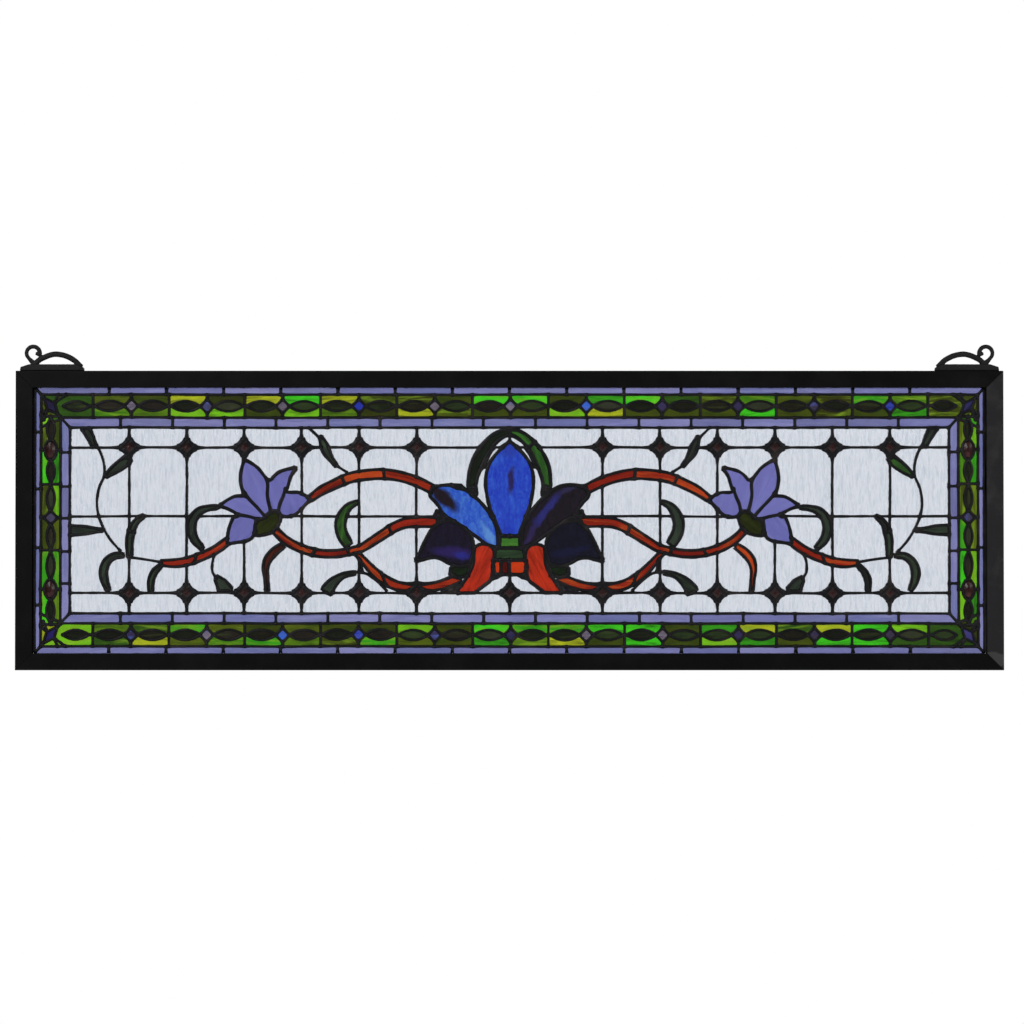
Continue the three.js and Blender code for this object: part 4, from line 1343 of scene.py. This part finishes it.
def solder_metal():
    """Solder with a black patina, rubbed paler in smudges."""
    finish = Finish("patinated_solder")
    patches = finish.noise(finish.place((0.06, 0.3, 0.06)), 4, 0.6)
    fine = finish.noise(finish.place((0.9, 0.9, 0.9)), 4, 0.6)
    colour = finish.steps(patches, [(0.35, linear(22, 22, 25)), (0.55, linear(32, 32, 36)),
                                    (0.72, linear(56, 51, 49))])
    finish.set(Base_Color=colour, Metallic=0.55,
               Roughness=finish.steps(fine, [(0.3, 0.34), (0.7, 0.6)]),
               Normal=finish.bump(fine, 0.35, 0.25))
    return finish.material


def frame_metal(name, base, worn, patch=None):
    """Satin black paint with fine orange peel, paler wear in random patches, and a ragged paler patch where
    one is given.
    """
    finish = Finish(name)
    peel = finish.noise(finish.place((1.6, 1.6, 1.6)), 3, 0.5)
    patches = finish.noise(finish.place((0.03, 0.05, 0.03)), 5, 0.65)
    colour = finish.mix(finish.steps(patches, [(0.5, 0.0), (0.78, 0.6)]), base, worn)
    if patch:
        local = finish.node("ShaderNodeMapping", {
            "Vector": finish.place((1, 1, 1)), "Location": (patch[0], 0, patch[1]),
            "Scale": (patch[2], 1e6, patch[3])}, vector_type="TEXTURE")
        away = finish.node("ShaderNodeVectorMath", {0: local.outputs[0]}, operation="LENGTH")
        ragged = finish.node("ShaderNodeMath", {0: away.outputs["Value"], 1: patches}, operation="ADD")
        colour = finish.mix(finish.steps(ragged.outputs[0], [(0.9, 0.8), (1.4, 0.0)]), colour, worn)
    finish.set(Base_Color=colour, Metallic=0.0, Specular_IOR_Level=0.18,
               Roughness=finish.steps(patches, [(0.3, 0.38), (0.7, 0.52)]),
               Normal=finish.bump(peel, 0.12, 0.2))
    return finish.material


def hanger_metal():
    """Black cast metal with a sandy skin."""
    finish = Finish("cast_black_metal")
    sand = finish.noise(finish.place((1.3, 1.3, 1.3)), 5, 0.7)
    finish.set(Base_Color=finish.steps(sand, [(0.35, linear(11, 11, 12)), (0.68, linear(32, 32, 33))]),
               Metallic=0.2, Roughness=finish.steps(sand, [(0.3, 0.45), (0.7, 0.7)]),
               Normal=finish.bump(sand, 0.6, 0.35))
    return finish.material


def glass_materials():
    brown = linear(34, 26, 34)
    violet = linear(46, 34, 92)
    found = {
        "lavender": opal_glass("lavender_opal_glass", 0.7, 0.12),
        "petal_lavender": opal_glass("petal_opal_glass", 0.6, 0.12),
        "orange": opal_glass("orange_red_glass", 0.8, 0.3),
        "leaf": opal_glass("leaf_glass", 0.8, 0.35),
        "arch": opal_glass("arch_glass", 0.9, 0.3),
        "calyx": opal_glass("calyx_glass", 0.5, 0.2),
        "collar": opal_glass("collar_glass", 0.5, 0.2),
        "green": opal_glass("green_cathedral_glass", 0.7, 0.35),
        "ruby": jewel_glass(),
        "clear": clear_glass(),
        "palmette_petal_centre": petal_glass(
            "centre_petal_glass", linear(34, 56, 190), linear(58, 104, 214),
            [(1.5, 34, 86, 15, 3.6, linear(44, 38, 92)), (-3, -8, 90, 9, 2, linear(40, 60, 180)),
             (0, 60, 90, 9, 9, linear(44, 66, 176))], 0),
        "palmette_petal_upper_left": petal_glass(
            "left_petal_glass", linear(38, 78, 200), linear(78, 130, 216),
            [(-54, 17, 140, 17, 7, brown), (-60, 24, 150, 12, 7, brown),
             (-18, -12, 120, 14, 4, linear(96, 148, 220))], -42),
        "palmette_petal_upper_right": petal_glass(
            "right_petal_glass", linear(27, 23, 30), linear(38, 31, 42),
            [(31, 8, 52, 26, 4.5, linear(46, 46, 116)), (50, 26, 20, 12, 3, linear(48, 44, 78)),
             (18, -12, 60, 14, 4, linear(50, 40, 84))], 42),
        "palmette_petal_lower_left": petal_glass(
            "left_low_petal_glass", linear(24, 20, 34), linear(34, 28, 50),
            [(-48, -27, 176, 24, 6, violet), (-40, -30, 170, 9, 4, linear(44, 44, 132))], 90),
        "palmette_petal_lower_right": petal_glass(
            "right_low_petal_glass", linear(18, 18, 30), linear(26, 28, 46),
            [(52, -26, 10, 22, 5, linear(26, 26, 56))], 90),
    }
    return found


# ---------------------------------------------------------------- floor, light and camera

def make_stage():
    size, drop = 1.25, 0.64
    floor_z = MIDDLE_Z - drop
    mesh = bpy.data.meshes.new("floor")
    mesh.from_pydata([(-size, -size, floor_z), (size, -size, floor_z), (size, size, floor_z),
                      (-size, size, floor_z)], [], [(0, 1, 2, 3)])
    floor = bpy.data.objects.new("floor", mesh)
    bpy.context.scene.collection.objects.link(floor)
    finish = Finish("pale_floor")
    finish.set(Base_Color=(0.82, 0.82, 0.82, 1), Roughness=0.9)
    mesh.materials.append(finish.material)


def make_world():
    """White behind everything that is seen or seen through, and softer light on the surfaces."""
    world = bpy.data.worlds.new("studio")
    bpy.context.scene.world = world
    world.use_nodes = True
    nodes, links = world.node_tree.nodes, world.node_tree.links
    path = nodes.new("ShaderNodeLightPath")
    either = nodes.new("ShaderNodeMath")
    either.operation = "MAXIMUM"
    links.new(path.outputs["Is Camera Ray"], either.inputs[0])
    links.new(path.outputs["Is Transmission Ray"], either.inputs[1])
    strength = nodes.new("ShaderNodeMapRange")
    strength.inputs["To Min"].default_value = 0.35
    strength.inputs["To Max"].default_value = 1.0
    links.new(either.outputs[0], strength.inputs["Value"])
    mirrored_only = nodes.new("ShaderNodeMath")
    mirrored_only.operation = "SUBTRACT"
    mirrored_only.use_clamp = True
    links.new(path.outputs["Is Glossy Ray"], mirrored_only.inputs[0])
    links.new(either.outputs[0], mirrored_only.inputs[1])
    dimmed = nodes.new("ShaderNodeMath")
    dimmed.operation = "MULTIPLY_ADD"
    dimmed.inputs[1].default_value = -0.25
    links.new(mirrored_only.outputs[0], dimmed.inputs[0])
    links.new(strength.outputs["Result"], dimmed.inputs[2])
    background = nodes["Background"]
    background.inputs["Color"].default_value = (1, 1, 1, 1)
    links.new(dimmed.outputs[0], background.inputs["Strength"])


def add_light(name, place, size, power):
    data = bpy.data.lights.new(name, "AREA")
    data.shape = "RECTANGLE"
    data.size, data.size_y = size
    data.energy = power
    light = bpy.data.objects.new(name, data)
    light.location = place
    light.rotation_euler = (Vector((0, 0, MIDDLE_Z)) - Vector(place)).to_track_quat("-Z", "Y").to_euler()
    bpy.context.scene.collection.objects.link(light)


def make_camera():
    distance, rise = 3.2, math.radians(-1.2)
    wide = 0.8695
    data = bpy.data.cameras.new("camera")
    data.sensor_width = 36.0
    data.lens = 36.0 * distance / wide
    data.clip_end = 50
    camera = bpy.data.objects.new("camera", data)
    aim = Vector((0.0021, 0, MIDDLE_Z + 0.0072))
    camera.location = aim + Vector((0, -math.cos(rise), math.sin(rise))) * distance
    camera.rotation_euler = (aim - camera.location).to_track_quat("-Z", "Y").to_euler()
    bpy.context.scene.collection.objects.link(camera)
    bpy.context.scene.camera = camera


# ---------------------------------------------------------------- the window

ALL_JEWELS = [(seated(side * x), z) for x, z in jewel_places() for side in (1, -1)]
ALL_JEWELS.append((seated(0), LATTICE["bottom"]))


def make_window():
    lay_motif()
    lay_lattice()
    lay_rims()
    lay_ribbon()
    points, cells, seams = divide()
    make_glass(points, cells, glass_materials())
    make_solder(points, cells, seams, solder_metal())
    black = frame_metal("satin_black_paint", linear(8, 8, 9), linear(20, 20, 22))
    # The right bar's paint and its paler wear are lighter grey than on the other three bars: painted light,
    # that side lit from the right. It also has a ragged paler patch at its lower right corner.
    sidelit_grey = frame_metal("sidelit_worn_black_paint", linear(42, 41, 43), linear(74, 73, 74), (410, -118, 26, 12))
    make_frame_bar("frame_top", HALF_WIDTH, HALF_HEIGHT, 0, black)
    make_frame_bar("frame_bottom", HALF_WIDTH, HALF_HEIGHT, math.pi, black)
    make_frame_bar("frame_left", HALF_HEIGHT, HALF_WIDTH, math.pi / 2, black)
    make_frame_bar("frame_right", HALF_HEIGHT, HALF_WIDTH, -math.pi / 2, sidelit_grey)
    cast = hanger_metal()
    make_hanger("hanger_left", -1, cast)
    make_hanger("hanger_right", 1, cast)


make_window()
make_stage()
make_world()
add_light("key_light", (-1.6, -2.2, 1.2), (1.6, 1.2), 26)
add_light("fill_light", (2.0, -1.6, 0.6), (1.2, 1.6), 14)
add_light("back_light", (0.6, 2.2, 1.0), (1.6, 1.2), 16)
make_camera()
bpy.context.scene.view_settings.view_transform = "Standard"
